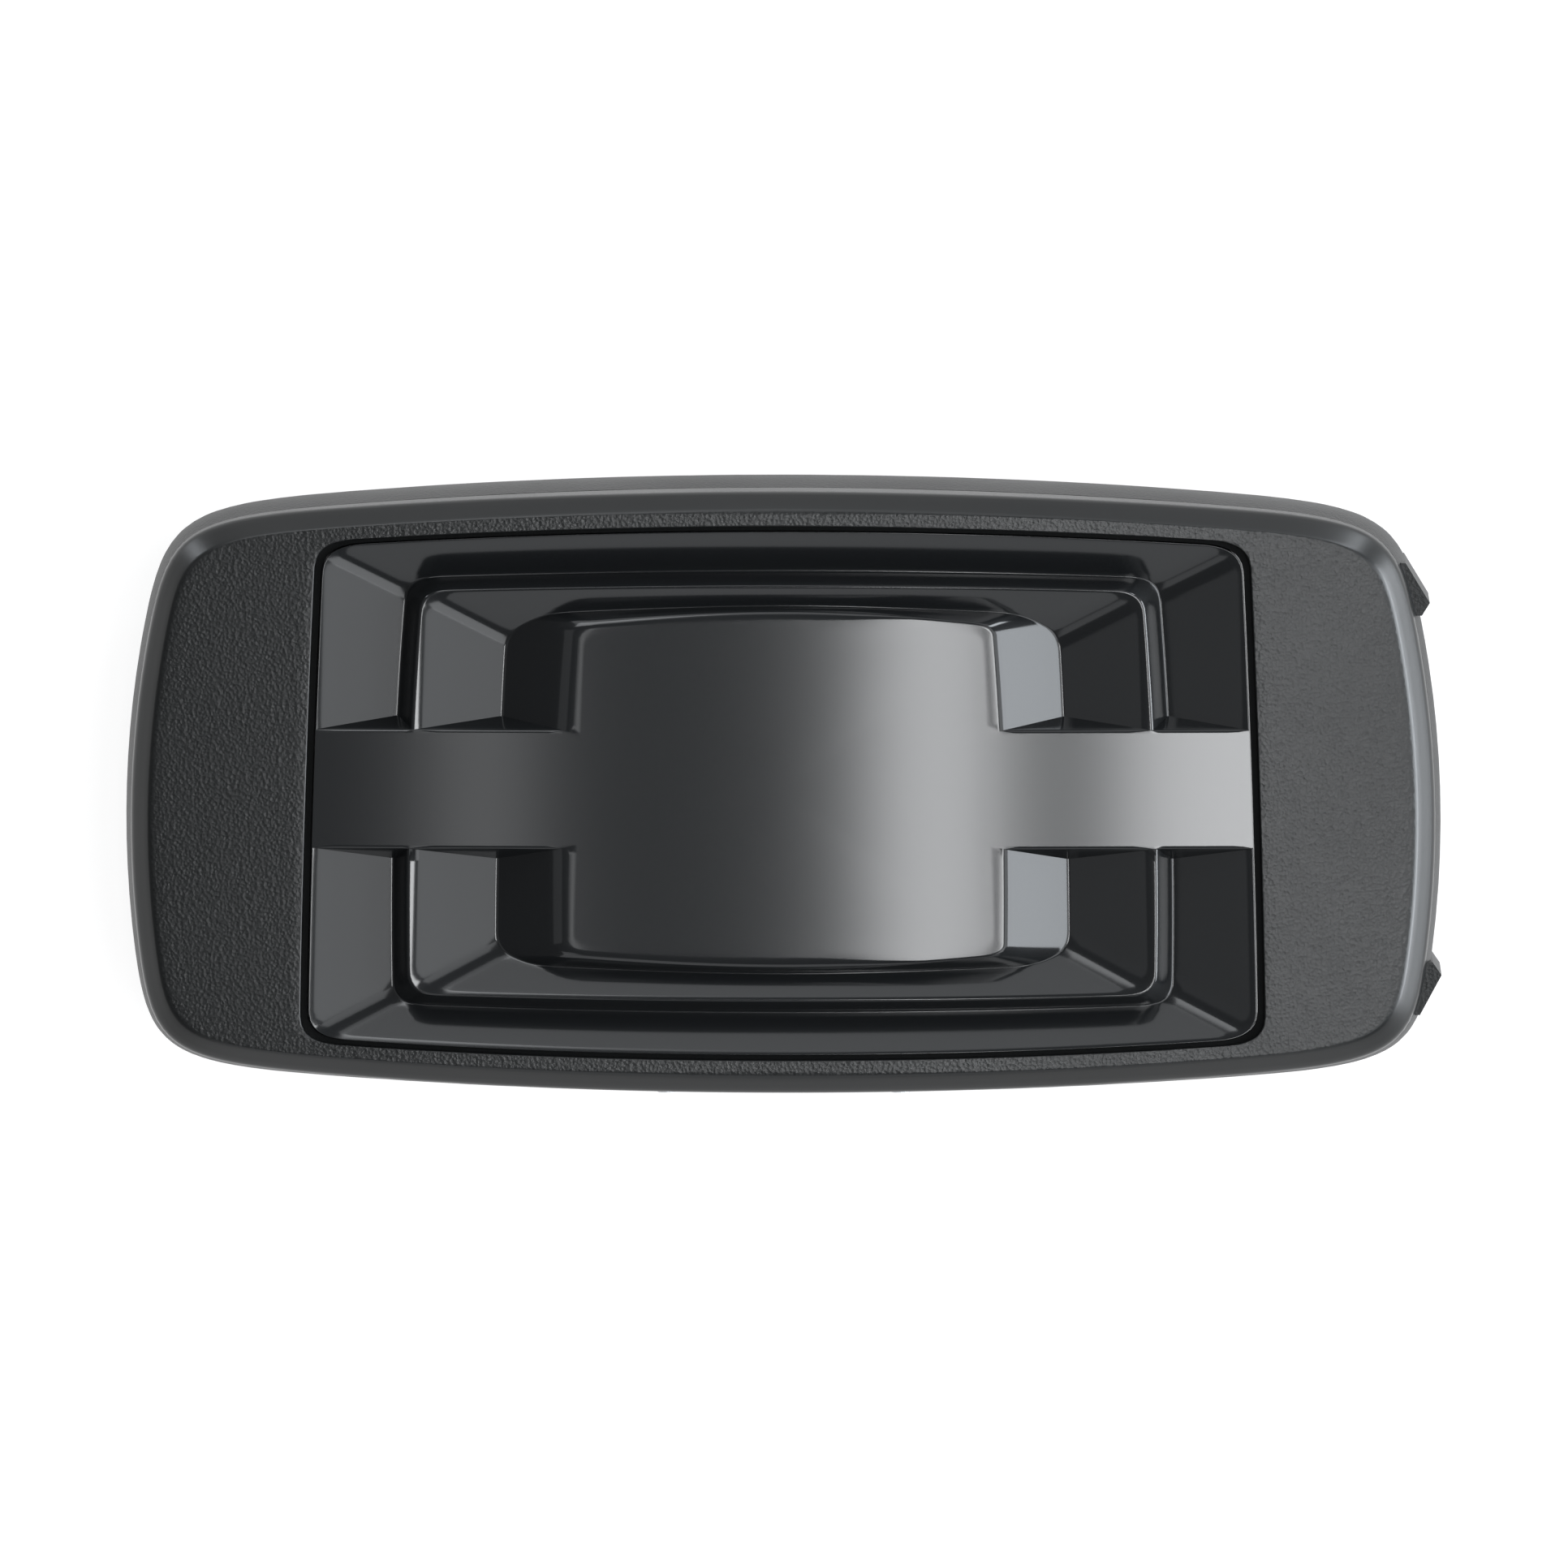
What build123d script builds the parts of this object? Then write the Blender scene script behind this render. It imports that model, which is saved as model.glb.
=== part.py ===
from build123d import *
import os
from math import asin, degrees, radians, sqrt, tan

# A network gateway for a garage door opener, lying on its back on four rubber feet.
# X runs along the long side, Y across it, Z up through the bowed face.
# The origin is on the surface that the feet stand on, under the middle of the casing.

os.makedirs("parts", exist_ok=True)

# Casing
case_length = 135.0
case_width = 63.44
case_thickness = 28.0
wall = 2.0
overrun = 1.0
fit_gap = 0.1
end_lean = 1.9
bow_rise = 3.656
side_bulge = 3.81
end_bulge = 4.906
corner_run_x = 22.0
corner_run_y = 14.7
corner_share = 0.9

# Front housing
bevel = 1.9
front_height = 6.3
front_draft = 0.2
shadow_gap = 0.3

# Rear housing
side_flare = 0.75
widest_height = 13.6
base_inset = 3.2
heel_height = 5.0
heel_inset = 1.0
lip_height = 1.4
lip_thickness = 0.9

# Face insert
opening_margin_x = 18.75
opening_margin_y = 4.37
opening_gap_x = 0.8
opening_gap_y = 0.55
frame_radius = 700.0
frame_end_radius = 1500.0
frame_run = 4.6
frame_share = 0.72
insert_sink = 0.2
insert_wall = 1.8
insert_depth = 6.0
flange_width = 1.5
flange_thickness = 1.4
step_depth = 3.1
step_reach_x = 9.05
step_reach_y = 4.3
step_lap = 0.12
frame_width_x = 11.2
frame_width_y = 6.2
island_side_radius = 650.0
island_end_radius = 350.0
island_run = 3.4
island_share = 0.68
riser_draft = 0.43
pad_margin_x = 14.9
pad_margin_y = 2.8
pad_side_radius = 170.0
pad_run = 2.6
pad_shift = 0.35
# Levels of the block, as shares of a step below the edge of its pad
block_shares = (-0.4, 1.4)
block_reach = 5.35
block_draft = 0.32
block_side_radius = 364.0
block_run = 3.8
band_width = 12.16
band_draft = 0.36

# Feet and case screws
foot_drop = 1.0
foot_radius = 4.25
foot_recess = 0.8
boss_inset_x = 12.9
boss_inset_y = 10.42
boss_radius = 4.2
boss_height = 15.0
front_boss_radius = 3.0
screw_radius = 1.5
screw_head_radius = 2.8
screw_head_height = 2.2
screw_length = 12.0
tunnel_radius = 3.05
tunnel_depth = 9.0

# Wall hanging
keyhole_spacing = 60.0
keyhole_head_radius = 4.0
keyhole_slot_radius = 2.1
keyhole_travel = 8.0
keyhole_pocket = 4.2
pocket_wall = 1.2
pocket_margin = 1.4

# Circuit board
board_height = 17.2
board_thickness = 1.6
board_gap_x = 1.9
board_margin_y = 9.72
board_corner = 2.0
tongue_gap = 0.4
post_radius = 2.5
post_inset_x = 10.5
post_inset_y = 3.7
board_screw_radius = 1.0
board_screw_head_radius = 1.9
board_screw_head_height = 1.2
board_screw_length = 8.0

# Port bay
bay_width = 35.6
bay_depth = 3.9
bay_bottom = 3.2
bay_top = 17.9
cheek_reach = 0.85
cheek_run = 4.1
cheek_drop = 2.35
cheek_step = 1.3
cheek_bottom = 4.0
cheek_top = 21.4
port_gap = 0.2

# Network jack
net_inset = 9.2
net_width = 15.9
net_height = 13.3
net_length = 21.0
shield_thickness = 0.3
socket_width = 11.8
socket_height = 6.8
socket_depth = 13.5
socket_rise = 3.6
latch_width = 6.3
latch_height = 1.5
latch_slot_width = 3.6
latch_slot_height = 0.6
contact_count = 8
contact_pitch = 1.02
contact_thickness = 0.35
contact_drop = 2.6

# Power jack
power_inset = 6.4
power_width = 9.0
power_height = 11.0
power_length = 14.2
power_drop = 6.5
power_bore_radius = 3.2
power_bore_depth = 10.0
power_pin_radius = 1.0
power_leaf_thickness = 0.4
power_leaf_width = 2.4

# Reset button
button_inset = 14.7
button_drop = 3.9
button_radius = 1.75
button_clearance = 0.08
button_flange_radius = 2.7
button_flange_thickness = 0.8
button_proud = 0.3
button_travel = 0.5
switch_width = 6.0
switch_height = 6.2
switch_depth = 3.4
plunger_radius = 1.2
plunger_reach = 1.2
plunger_seat = 1.0

# Status lamps
lamp_count = 3
lamp_pitch = 12.0
lamp_width = 3.0
lamp_height = 2.0
lamp_depth = 2.0
pipe_radius = 0.95
pipe_sink = 0.15
pipe_gap = 0.3
carrier_thickness = 1.6

# Chips and other small parts on the board
chip_bevel = 0.15
radio_length = 22.0
radio_width = 17.0
radio_height = 2.2
radio_wall = 0.3
radio_chip_side = 6.0
radio_chip_height = 0.9
processor_side = 12.0
processor_height = 1.1
memory_length = 8.0
memory_width = 6.0
memory_height = 0.9
crystal_length = 11.4
crystal_width = 4.6
crystal_height = 3.4
antenna_length = 20.0
antenna_width = 6.0
antenna_strip = 0.9
antenna_thickness = 0.2
antenna_legs = 9
transformer_length = 16.0
transformer_width = 10.0
transformer_height = 6.0
transformer_gap = 6.4
capacitor_radius = 3.15
capacitor_height = 7.7
capacitor_base_height = 0.9
capacitor_groove = 0.35
inductor_side = 8.0
inductor_height = 4.0
regulator_length = 6.5
regulator_width = 3.5
regulator_height = 1.7
small_length = 1.6
small_width = 0.8
small_height = 0.7
small_pitch = 3.0
small_count = 4


def arc_radius(half_chord, rise):
    """The radius of an arc that rises by so much over half its chord."""
    return (half_chord**2 + rise**2) / (2 * rise)


half_length = case_length / 2
half_width = case_width / 2
bow_radius = arc_radius(half_length, bow_rise)
side_radius = arc_radius(half_length, side_bulge)
end_radius = arc_radius(half_width, end_bulge)
opening_length = case_length - 2 * opening_margin_x
opening_width = case_width - 2 * opening_margin_y
island_length = opening_length - 2 * frame_width_x
island_width = opening_width - 2 * frame_width_y
pad_length = island_length - 2 * pad_margin_x
pad_width = island_width - 2 * pad_margin_y
boss_x = half_length - boss_inset_x
boss_y = half_width - boss_inset_y
board_length = 2 * (boss_x - boss_radius - board_gap_x)
board_width = case_width - 2 * board_margin_y
post_x = board_length / 2 - post_inset_x
post_y = board_width / 2 - post_inset_y
base_z = foot_drop
face_z = base_z + case_thickness
widest_z = base_z + widest_height
front_z = face_z - front_height
rear_z = front_z - shadow_gap
floor_z = base_z + wall
board_top = board_height + board_thickness
bay_x = half_length - bay_depth
bay_back = bay_x - wall
bay_room = bay_width / 2
net_y = bay_room - net_inset
power_y = power_inset - bay_room
button_y = button_inset - bay_room
tongue_reach = bay_back - tongue_gap - board_length / 2
tongue_width = 2 * (boss_y - boss_radius - tongue_gap)
lean_share = tan(radians(end_lean))


def leaned(x, y, shift):
    """A point of a plan outline, with the ends leaning outward towards the lower side."""
    side = (x > 0) - (x < 0)
    return (x - side * lean_share * y, y + shift)


def soft_corner(before, after, share):
    """A corner curve that leaves one arc and meets the next along their own tangents."""
    start = before @ 1
    end = after @ 0
    out = before % 1
    back = after % 0
    gap = end - start
    turn = out.X * back.Y - out.Y * back.X
    ahead = (gap.X * back.Y - gap.Y * back.X) / turn * share
    behind = (out.X * gap.Y - out.Y * gap.X) / turn * share
    Bezier(start, start + out * ahead, end - back * behind, end)


def barrel(half_x, half_y, long_radius, short_radius, run_x, run_y, share, shift=0):
    """The edges of a plan outline: four long arcs joined by soft corners."""
    x_end = half_x - run_x
    y_end = half_y - run_y
    y_side = half_y - long_radius + sqrt(long_radius**2 - x_end**2)
    x_side = half_x - short_radius + sqrt(short_radius**2 - y_end**2)
    with BuildLine() as outline:
        upper = ThreePointArc(
            leaned(-x_end, y_side, shift), (0, half_y + shift), leaned(x_end, y_side, shift)
        )
        right = ThreePointArc(
            leaned(x_side, y_end, shift), leaned(half_x, 0, shift), leaned(x_side, -y_end, shift)
        )
        lower = ThreePointArc(
            leaned(x_end, -y_side, shift), (0, shift - half_y), leaned(-x_end, -y_side, shift)
        )
        left = ThreePointArc(
            leaned(-x_side, -y_end, shift), leaned(-half_x, 0, shift), leaned(-x_side, y_end, shift)
        )
        soft_corner(upper, right, share)
        soft_corner(right, lower, share)
        soft_corner(lower, left, share)
        soft_corner(left, upper, share)
    return outline.edges()


def casing_outline(inset):
    """The casing's plan outline, moved inward by the inset."""
    return barrel(
        half_length - inset,
        half_width - inset,
        side_radius - inset,
        end_radius - inset,
        corner_run_x - inset,
        corner_run_y - inset,
        corner_share,
    )


def frame_outline(inset_x, inset_y):
    """The plan outline of the face's opening, moved inward by the insets."""
    return barrel(
        opening_length / 2 - inset_x,
        opening_width / 2 - inset_y,
        frame_radius,
        frame_end_radius,
        frame_run,
        frame_run,
        frame_share,
    )


def stacked(sections, ruled=True):
    """A solid through plan outlines, each given with its height."""
    with BuildPart() as stack:
        for height, outline in sections:
            with BuildSketch(Plane.XY.offset(height)):
                make_face(outline)
        loft(ruled=ruled)
    return stack.part


def below_bow(depth, bottom):
    """All that lies under the bowed face by a depth, down to a level."""
    radius = bow_radius - depth
    centre_z = face_z - bow_radius
    reach = half_length + overrun
    side_z = centre_z + sqrt(radius**2 - reach**2)
    with BuildPart() as slab:
        with BuildSketch(Plane.XZ):
            with BuildLine():
                ThreePointArc((-reach, side_z), (0, centre_z + radius), (reach, side_z))
                Polyline((reach, side_z), (reach, bottom), (-reach, bottom), (-reach, side_z))
            make_face()
        extrude(amount=case_width, both=True)
    return slab.part


def bow_drop(x):
    """How far the bowed face has dropped at a distance from the middle."""
    return bow_radius - sqrt(bow_radius**2 - x**2)


# Front housing: a shallow bowed shell with a bevel all round and the insert's opening
below_face = below_bow(0, front_z)
below_ceiling = below_bow(wall, front_z - overrun)
boss_z = base_z + boss_height
screw_top = base_z + tunnel_depth + screw_length
front_boss_top = face_z - bow_drop(boss_x + front_boss_radius) - wall / 2

with BuildPart() as front_cavity:
    add(
        stacked(
            [
                (front_z - overrun, casing_outline(side_flare + wall)),
                (face_z, casing_outline(side_flare + front_draft + wall + bevel / 2)),
            ]
        )
    )
    add(below_ceiling, mode=Mode.INTERSECT)

front_blank = stacked(
    [
        (front_z, casing_outline(side_flare)),
        (face_z + overrun, casing_outline(side_flare + front_draft)),
    ]
)

with BuildPart() as front_housing:
    add(front_blank)
    add(below_face, mode=Mode.INTERSECT)
    chamfer(front_housing.faces().sort_by(Axis.Z)[-1].edges(), length=bevel)
    add(front_cavity.part, mode=Mode.SUBTRACT)
    with BuildSketch(Plane.XY.offset(front_z)):
        make_face(casing_outline(side_flare + wall - lip_thickness - fit_gap))
    extrude(amount=lip_height + fit_gap, mode=Mode.SUBTRACT)
    with BuildSketch(Plane.XY.offset(front_z)):
        make_face(frame_outline(0, 0))
    extrude(amount=front_height + overrun, mode=Mode.SUBTRACT)
    with BuildSketch(Plane.XY.offset(boss_z + fit_gap)):
        with GridLocations(2 * boss_x, 2 * boss_y, 2, 2):
            Circle(front_boss_radius)
    extrude(amount=front_boss_top - boss_z)
    with BuildSketch(Plane.XY.offset(boss_z)):
        with GridLocations(2 * boss_x, 2 * boss_y, 2, 2):
            Circle(screw_radius + fit_gap / 2)
    extrude(amount=screw_top + fit_gap - boss_z, mode=Mode.SUBTRACT)
front_housing.part.label = "front_housing"
export_step(front_housing.part, "parts/front_housing.step")


# Face insert: two mitred steps that run down to a centre block with a bowed pad, and a band across
def end_rail(half_x, sink, bottom):
    """The right-hand rail of a step: its top runs down towards the middle."""
    slope = step_depth / step_reach_x
    edge_z = face_z - sink - bow_drop(half_x)
    foot_x = half_x - (edge_z - bottom) / slope
    reach = half_width
    with BuildPart() as rail:
        for offset in (reach, -reach):
            lean = lean_share * offset
            with BuildSketch(Plane.XZ.offset(offset)):
                with BuildLine():
                    Polyline(
                        (half_x + overrun + lean, edge_z + overrun * slope),
                        (foot_x + lean, bottom),
                        (half_x + overrun + lean, bottom),
                        close=True,
                    )
                make_face()
        loft(ruled=True)
    return rail.part


def swept_on_bow(corners, plan_curve, sink):
    """A bar along the casing that follows the bowed face, and a plan arc of the given curvature."""
    bow_curve = 1 / (bow_radius - sink)
    edge = Vector(0, corners[0][0], face_z - sink)
    radius = 1 / sqrt(plan_curve**2 + bow_curve**2)
    out = Vector(0, radius * plan_curve, radius * bow_curve)
    along = Vector(0, -out.Z, out.Y)
    centre = edge - out * radius
    swing = degrees(asin(half_length / radius))
    turned = Axis((0, 0, 0), along)
    start = Plane(
        origin=centre,
        x_dir=out.rotate(turned, -swing),
        z_dir=Vector(1, 0, 0).rotate(turned, -swing),
    )
    points = [Vector(0, y, z) - centre for y, z in corners]
    with BuildPart() as bar:
        with BuildSketch(start):
            with BuildLine():
                Polyline([(point.dot(out), point.dot(along)) for point in points], close=True)
            make_face()
        revolve(axis=Axis(centre, along), revolution_arc=2 * swing)
    return bar.part


def side_rail(half_y, plan_radius, sink, bottom):
    """The upper rail of a step: its sloped top also follows the arc of the step's outline."""
    slope = step_depth / step_reach_y
    edge_z = face_z - sink
    corners = (
        (half_y, edge_z),
        (half_y - (edge_z - bottom) / slope, bottom),
        (half_y + overrun, bottom),
        (half_y + overrun, edge_z + overrun * slope),
    )
    return swept_on_bow(corners, 1 / plan_radius, sink)


def mitred_step(half_x, half_y, plan_radius, sink, bottom):
    """Four rails whose sloped tops meet at the mitres."""
    end = end_rail(half_x, sink, bottom)
    side = side_rail(half_y, plan_radius, sink, bottom)
    with BuildPart() as step:
        add(end)
        add(side)
        mirror(end, about=Plane.YZ)
        mirror(side, about=Plane.XZ)
    return step.part


def insert_form(shrink, bottom):
    """The insert's solid form, or the hollow under it when shrunk by the wall."""
    top_z = face_z + overrun
    sink = insert_sink + shrink
    frame = mitred_step(
        opening_length / 2 - opening_gap_x + step_lap,
        opening_width / 2 - opening_gap_y + step_lap,
        frame_radius,
        sink,
        bottom,
    )
    frame_edge = frame_outline(opening_gap_x + shrink, opening_gap_y + shrink)
    frame_prism = stacked([(bottom, frame_edge), (top_z, frame_edge)])

    island = mitred_step(
        island_length / 2 + step_lap,
        island_width / 2 + step_lap,
        2 * island_side_radius,
        sink,
        bottom,
    )
    island_sections = []
    for height in (bottom, top_z):
        spread = (face_z - height) * riser_draft - shrink
        island_sections.append(
            (
                height,
                barrel(
                    island_length / 2 + spread,
                    island_width / 2 + spread,
                    island_side_radius,
                    island_end_radius,
                    island_run,
                    island_run,
                    island_share,
                ),
            )
        )
    island_prism = stacked(island_sections)

    pad_z = face_z - sink - bow_drop(pad_length / 2)
    block_sections = []
    for share in block_shares:
        drop = step_depth * share
        blend_share = max(share, 0)
        corner_run = pad_run + (block_run - pad_run) * blend_share
        block_sections.append(
            (
                pad_z - drop,
                barrel(
                    pad_length / 2 + block_reach * share - shrink,
                    pad_width / 2 + drop * block_draft - shrink,
                    pad_side_radius + (block_side_radius - pad_side_radius) * blend_share,
                    island_end_radius,
                    corner_run,
                    corner_run,
                    island_share,
                    pad_shift,
                ),
            )
        )
    block_prism = stacked(block_sections)

    band_z = face_z - sink
    band_top = band_width / 2 - shrink - overrun * band_draft
    band_foot = band_width / 2 - shrink + (band_z - bottom) * band_draft
    band = swept_on_bow(
        (
            (pad_shift, band_z + overrun),
            (pad_shift + band_top, band_z + overrun),
            (pad_shift + band_foot, bottom),
            (pad_shift - band_foot, bottom),
            (pad_shift - band_top, band_z + overrun),
        ),
        0,
        sink,
    )

    surface = below_bow(sink, bottom)
    with BuildPart() as stepped_frame:
        add(frame)
        add(band)
        add(frame_prism, mode=Mode.INTERSECT)
    with BuildPart() as stepped_island:
        add(island)
        add(island_prism, mode=Mode.INTERSECT)
    with BuildPart() as form:
        add(stepped_frame.part)
        add(stepped_island.part)
        add(block_prism)
        add(surface, mode=Mode.INTERSECT)
    return form.part


insert_bottom = face_z - bow_drop(half_length) - insert_depth - overrun
insert_body = insert_form(0, insert_bottom)
insert_hollow = insert_form(insert_wall, insert_bottom - overrun)
below_insert = below_bow(insert_depth, insert_bottom - 2 * overrun)

flange_edge = frame_outline(-flange_width, opening_gap_y + insert_wall / 2)
flange_hole = frame_outline(opening_gap_x + insert_wall / 2, 0)
with BuildPart() as flange:
    add(stacked([(insert_bottom, flange_edge), (face_z, flange_edge)]))
    add(stacked([(insert_bottom, flange_hole), (face_z, flange_hole)]), mode=Mode.SUBTRACT)
    add(below_bow(wall + fit_gap, insert_bottom), mode=Mode.INTERSECT)
    add(below_bow(wall + fit_gap + flange_thickness, insert_bottom - overrun), mode=Mode.SUBTRACT)

with BuildPart() as face_insert:
    add(insert_body)
    add(insert_hollow, mode=Mode.SUBTRACT)
    add(below_insert, mode=Mode.SUBTRACT)
    add(flange.part)
face_insert.part.label = "face_insert"
export_step(face_insert.part, "parts/face_insert.step")


# Rear housing: a tapered tub with the port bay and its two cheeks at the right end
tub = stacked(
    [
        (base_z, casing_outline(base_inset)),
        (base_z + heel_height, casing_outline(heel_inset)),
        (widest_z, casing_outline(0)),
        (rear_z, casing_outline(side_flare)),
    ],
    ruled=False,
)
tub_hollow = stacked(
    [
        (floor_z, casing_outline(base_inset + wall / 2)),
        (base_z + heel_height, casing_outline(heel_inset + wall)),
        (widest_z, casing_outline(wall)),
        (rear_z + overrun, casing_outline(side_flare + wall)),
    ]
)
pipe_z = board_height - lamp_height / 2
button_z = board_height - button_drop
pocket_length = 2 * (keyhole_head_radius + pocket_margin + pocket_wall)
pocket_span = pocket_length + keyhole_travel
cheek_x = half_length - end_radius + sqrt(end_radius**2 - bay_room**2)


def cheek(side):
    """The plan of the cheek that stands out beside the port bay."""
    tip_y = bay_room + cheek_step
    rear_x = cheek_x - wall
    return [
        leaned(cheek_x, side * bay_room, 0),
        leaned(cheek_x + cheek_reach, side * tip_y, 0),
        leaned(cheek_x + cheek_reach - cheek_drop, side * (tip_y + cheek_run), 0),
        leaned(rear_x, side * (tip_y + cheek_run), 0),
        leaned(rear_x, side * bay_room, 0),
    ]


with BuildPart() as bay_pan:
    with BuildSketch(Plane.XY.offset(floor_z)):
        with Locations((bay_back, 0)):
            Rectangle(half_length, bay_width + 2 * wall, align=(Align.MIN, Align.CENTER))
    extrude(amount=bay_top + wall - floor_z)
    add(tub, mode=Mode.INTERSECT)

with BuildPart() as rear_housing:
    add(tub)
    add(tub_hollow, mode=Mode.SUBTRACT)
    with BuildSketch(Plane.XY.offset(rear_z - overrun)):
        make_face(casing_outline(side_flare + wall - lip_thickness))
        make_face(casing_outline(side_flare + wall), mode=Mode.SUBTRACT)
    extrude(amount=overrun + shadow_gap + lip_height)
    add(bay_pan.part)
    with BuildSketch(Plane.XY.offset(cheek_bottom)):
        for side in (1, -1):
            with BuildLine():
                Polyline(cheek(side), close=True)
            make_face()
    extrude(amount=cheek_top - cheek_bottom)
    # Bosses for the case screws, posts for the board
    with BuildSketch(Plane.XY.offset(floor_z - wall / 2)):
        with GridLocations(2 * boss_x, 2 * boss_y, 2, 2):
            Circle(boss_radius)
    extrude(amount=boss_z - floor_z + wall / 2)
    with BuildSketch(Plane.XY.offset(floor_z - wall / 2)):
        with GridLocations(2 * post_x, 2 * post_y, 2, 2):
            Circle(post_radius)
    extrude(amount=board_height - floor_z + wall / 2)
    # Pockets that keep the wall screws off the board
    with BuildSketch(Plane.XY.offset(floor_z - wall / 2)):
        with GridLocations(keyhole_spacing, 0, 2, 1):
            Rectangle(pocket_length, pocket_span)
    extrude(amount=keyhole_pocket + pocket_wall + wall / 2)
    with BuildSketch(Plane.XY.offset(floor_z)):
        with GridLocations(keyhole_spacing, 0, 2, 1):
            Rectangle(pocket_length - 2 * pocket_wall, pocket_span - 2 * pocket_wall)
    extrude(amount=keyhole_pocket, mode=Mode.SUBTRACT)
    with BuildSketch(Plane.XY.offset(base_z - overrun)):
        with GridLocations(keyhole_spacing, 0, 2, 1):
            SlotCenterToCenter(keyhole_travel, 2 * keyhole_slot_radius, rotation=90)
        with Locations((0, -keyhole_travel / 2)):
            with GridLocations(keyhole_spacing, 0, 2, 1):
                Circle(keyhole_head_radius)
    extrude(amount=wall + overrun, mode=Mode.SUBTRACT)
    # Tunnels for the case screws, and the recesses of the feet that cover them
    with BuildSketch(Plane.XY.offset(base_z - overrun)):
        with GridLocations(2 * boss_x, 2 * boss_y, 2, 2):
            Circle(tunnel_radius)
    extrude(amount=tunnel_depth + overrun, mode=Mode.SUBTRACT)
    with BuildSketch(Plane.XY.offset(base_z)):
        with GridLocations(2 * boss_x, 2 * boss_y, 2, 2):
            Circle(screw_radius + fit_gap / 2)
    extrude(amount=boss_height + overrun, mode=Mode.SUBTRACT)
    with BuildSketch(Plane.XY.offset(base_z - overrun)):
        with GridLocations(2 * boss_x, 2 * boss_y, 2, 2):
            Circle(foot_radius + fit_gap)
    extrude(amount=foot_recess + overrun, mode=Mode.SUBTRACT)
    with BuildSketch(Plane.XY.offset(board_height)):
        with GridLocations(2 * post_x, 2 * post_y, 2, 2):
            Circle(board_screw_radius + fit_gap / 2)
    extrude(amount=board_thickness - board_screw_length - fit_gap, mode=Mode.SUBTRACT)
    # The bay, and the windows in its back wall
    with BuildSketch(Plane.XY.offset(bay_bottom)):
        with Locations((bay_x, 0)):
            Rectangle(half_length, bay_width, align=(Align.MIN, Align.CENTER))
    extrude(amount=bay_top - bay_bottom, mode=Mode.SUBTRACT)
    with BuildSketch(Plane.YZ.offset(bay_back - overrun)):
        with Locations((net_y, board_height - net_height / 2)):
            Rectangle(net_width + 2 * fit_gap, net_height + 2 * fit_gap)
        with Locations((power_y, board_height - power_height / 2)):
            Rectangle(power_width + 2 * fit_gap, power_height + 2 * fit_gap)
        with Locations((button_y, button_z)):
            Circle(button_radius + button_clearance)
    extrude(amount=wall + 2 * overrun, mode=Mode.SUBTRACT)
    # Holes for the light pipes in the lower wall
    with BuildSketch(Plane.XZ.offset(half_width - 2 * wall)):
        with Locations((0, pipe_z)):
            with GridLocations(lamp_pitch, 0, lamp_count, 1):
                Circle(pipe_radius + fit_gap / 2)
    extrude(amount=3 * wall, mode=Mode.SUBTRACT)
rear_housing.part.label = "rear_housing"
export_step(rear_housing.part, "parts/rear_housing.step")


# Rubber feet over the screw tunnels
with BuildPart() as rubber_feet:
    with BuildSketch():
        with GridLocations(2 * boss_x, 2 * boss_y, 2, 2):
            Circle(foot_radius)
    extrude(amount=foot_drop + foot_recess)
    chamfer(rubber_feet.faces().group_by(Axis.Z)[0].edges(), length=foot_drop / 3)
rubber_feet.part.label = "rubber_feet"
export_step(rubber_feet.part, "parts/rubber_feet.step")


def pan_screws(places, seat_z, head_radius, head_height, shank_radius, shank_length, up):
    """Cross-head screws at the places given, heads seated at a level, shanks up or down."""
    plane = Plane.XY.offset(seat_z) if up else Plane(origin=(0, 0, seat_z), z_dir=(0, 0, -1))
    with BuildPart() as screws:
        with BuildSketch(plane):
            with Locations(*places):
                Circle(head_radius)
        extrude(amount=-head_height)
        heads = screws.faces().sort_by(Axis.Z, reverse=not up).group_by(Axis.Z, reverse=not up)[0]
        chamfer(heads.edges(), length=head_height / 3)
        with BuildSketch(plane.offset(-head_height)):
            with Locations(*places):
                Rectangle(head_radius * 1.1, head_radius / 4)
                Rectangle(head_radius / 4, head_radius * 1.1)
        extrude(amount=head_height / 2, mode=Mode.SUBTRACT)
        with BuildSketch(plane):
            with Locations(*places):
                Circle(shank_radius)
        extrude(amount=shank_length)
    return screws.part


# Case screws, driven from below through the tub into the front housing
boss_places = [(x, y) for x in (boss_x, -boss_x) for y in (boss_y, -boss_y)]
with BuildPart() as case_screws:
    add(
        pan_screws(
            boss_places,
            base_z + tunnel_depth,
            screw_head_radius,
            screw_head_height,
            screw_radius,
            screw_length,
            up=True,
        )
    )
case_screws.part.label = "case_screws"
export_step(case_screws.part, "parts/case_screws.step")

# Board screws, driven from above into the posts
post_places = [(x, y) for x in (post_x, -post_x) for y in (post_y, -post_y)]
with BuildPart() as board_screws:
    add(
        pan_screws(
            post_places,
            board_top,
            board_screw_head_radius,
            board_screw_head_height,
            board_screw_radius,
            board_screw_length,
            up=False,
        )
    )
board_screws.part.label = "board_screws"
export_step(board_screws.part, "parts/board_screws.step")


# Circuit board, with a tongue that reaches to the port bay
with BuildPart() as circuit_board:
    with BuildSketch(Plane.XY.offset(board_height)):
        RectangleRounded(board_length, board_width, board_corner)
        with Locations((board_length / 2 - board_corner, 0)):
            Rectangle(tongue_reach + board_corner, tongue_width, align=(Align.MIN, Align.CENTER))
        with Locations(*post_places):
            Circle(board_screw_radius + fit_gap, mode=Mode.SUBTRACT)
    extrude(amount=board_thickness)
circuit_board.part.label = "circuit_board"
export_step(circuit_board.part, "parts/circuit_board.step")


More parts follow.
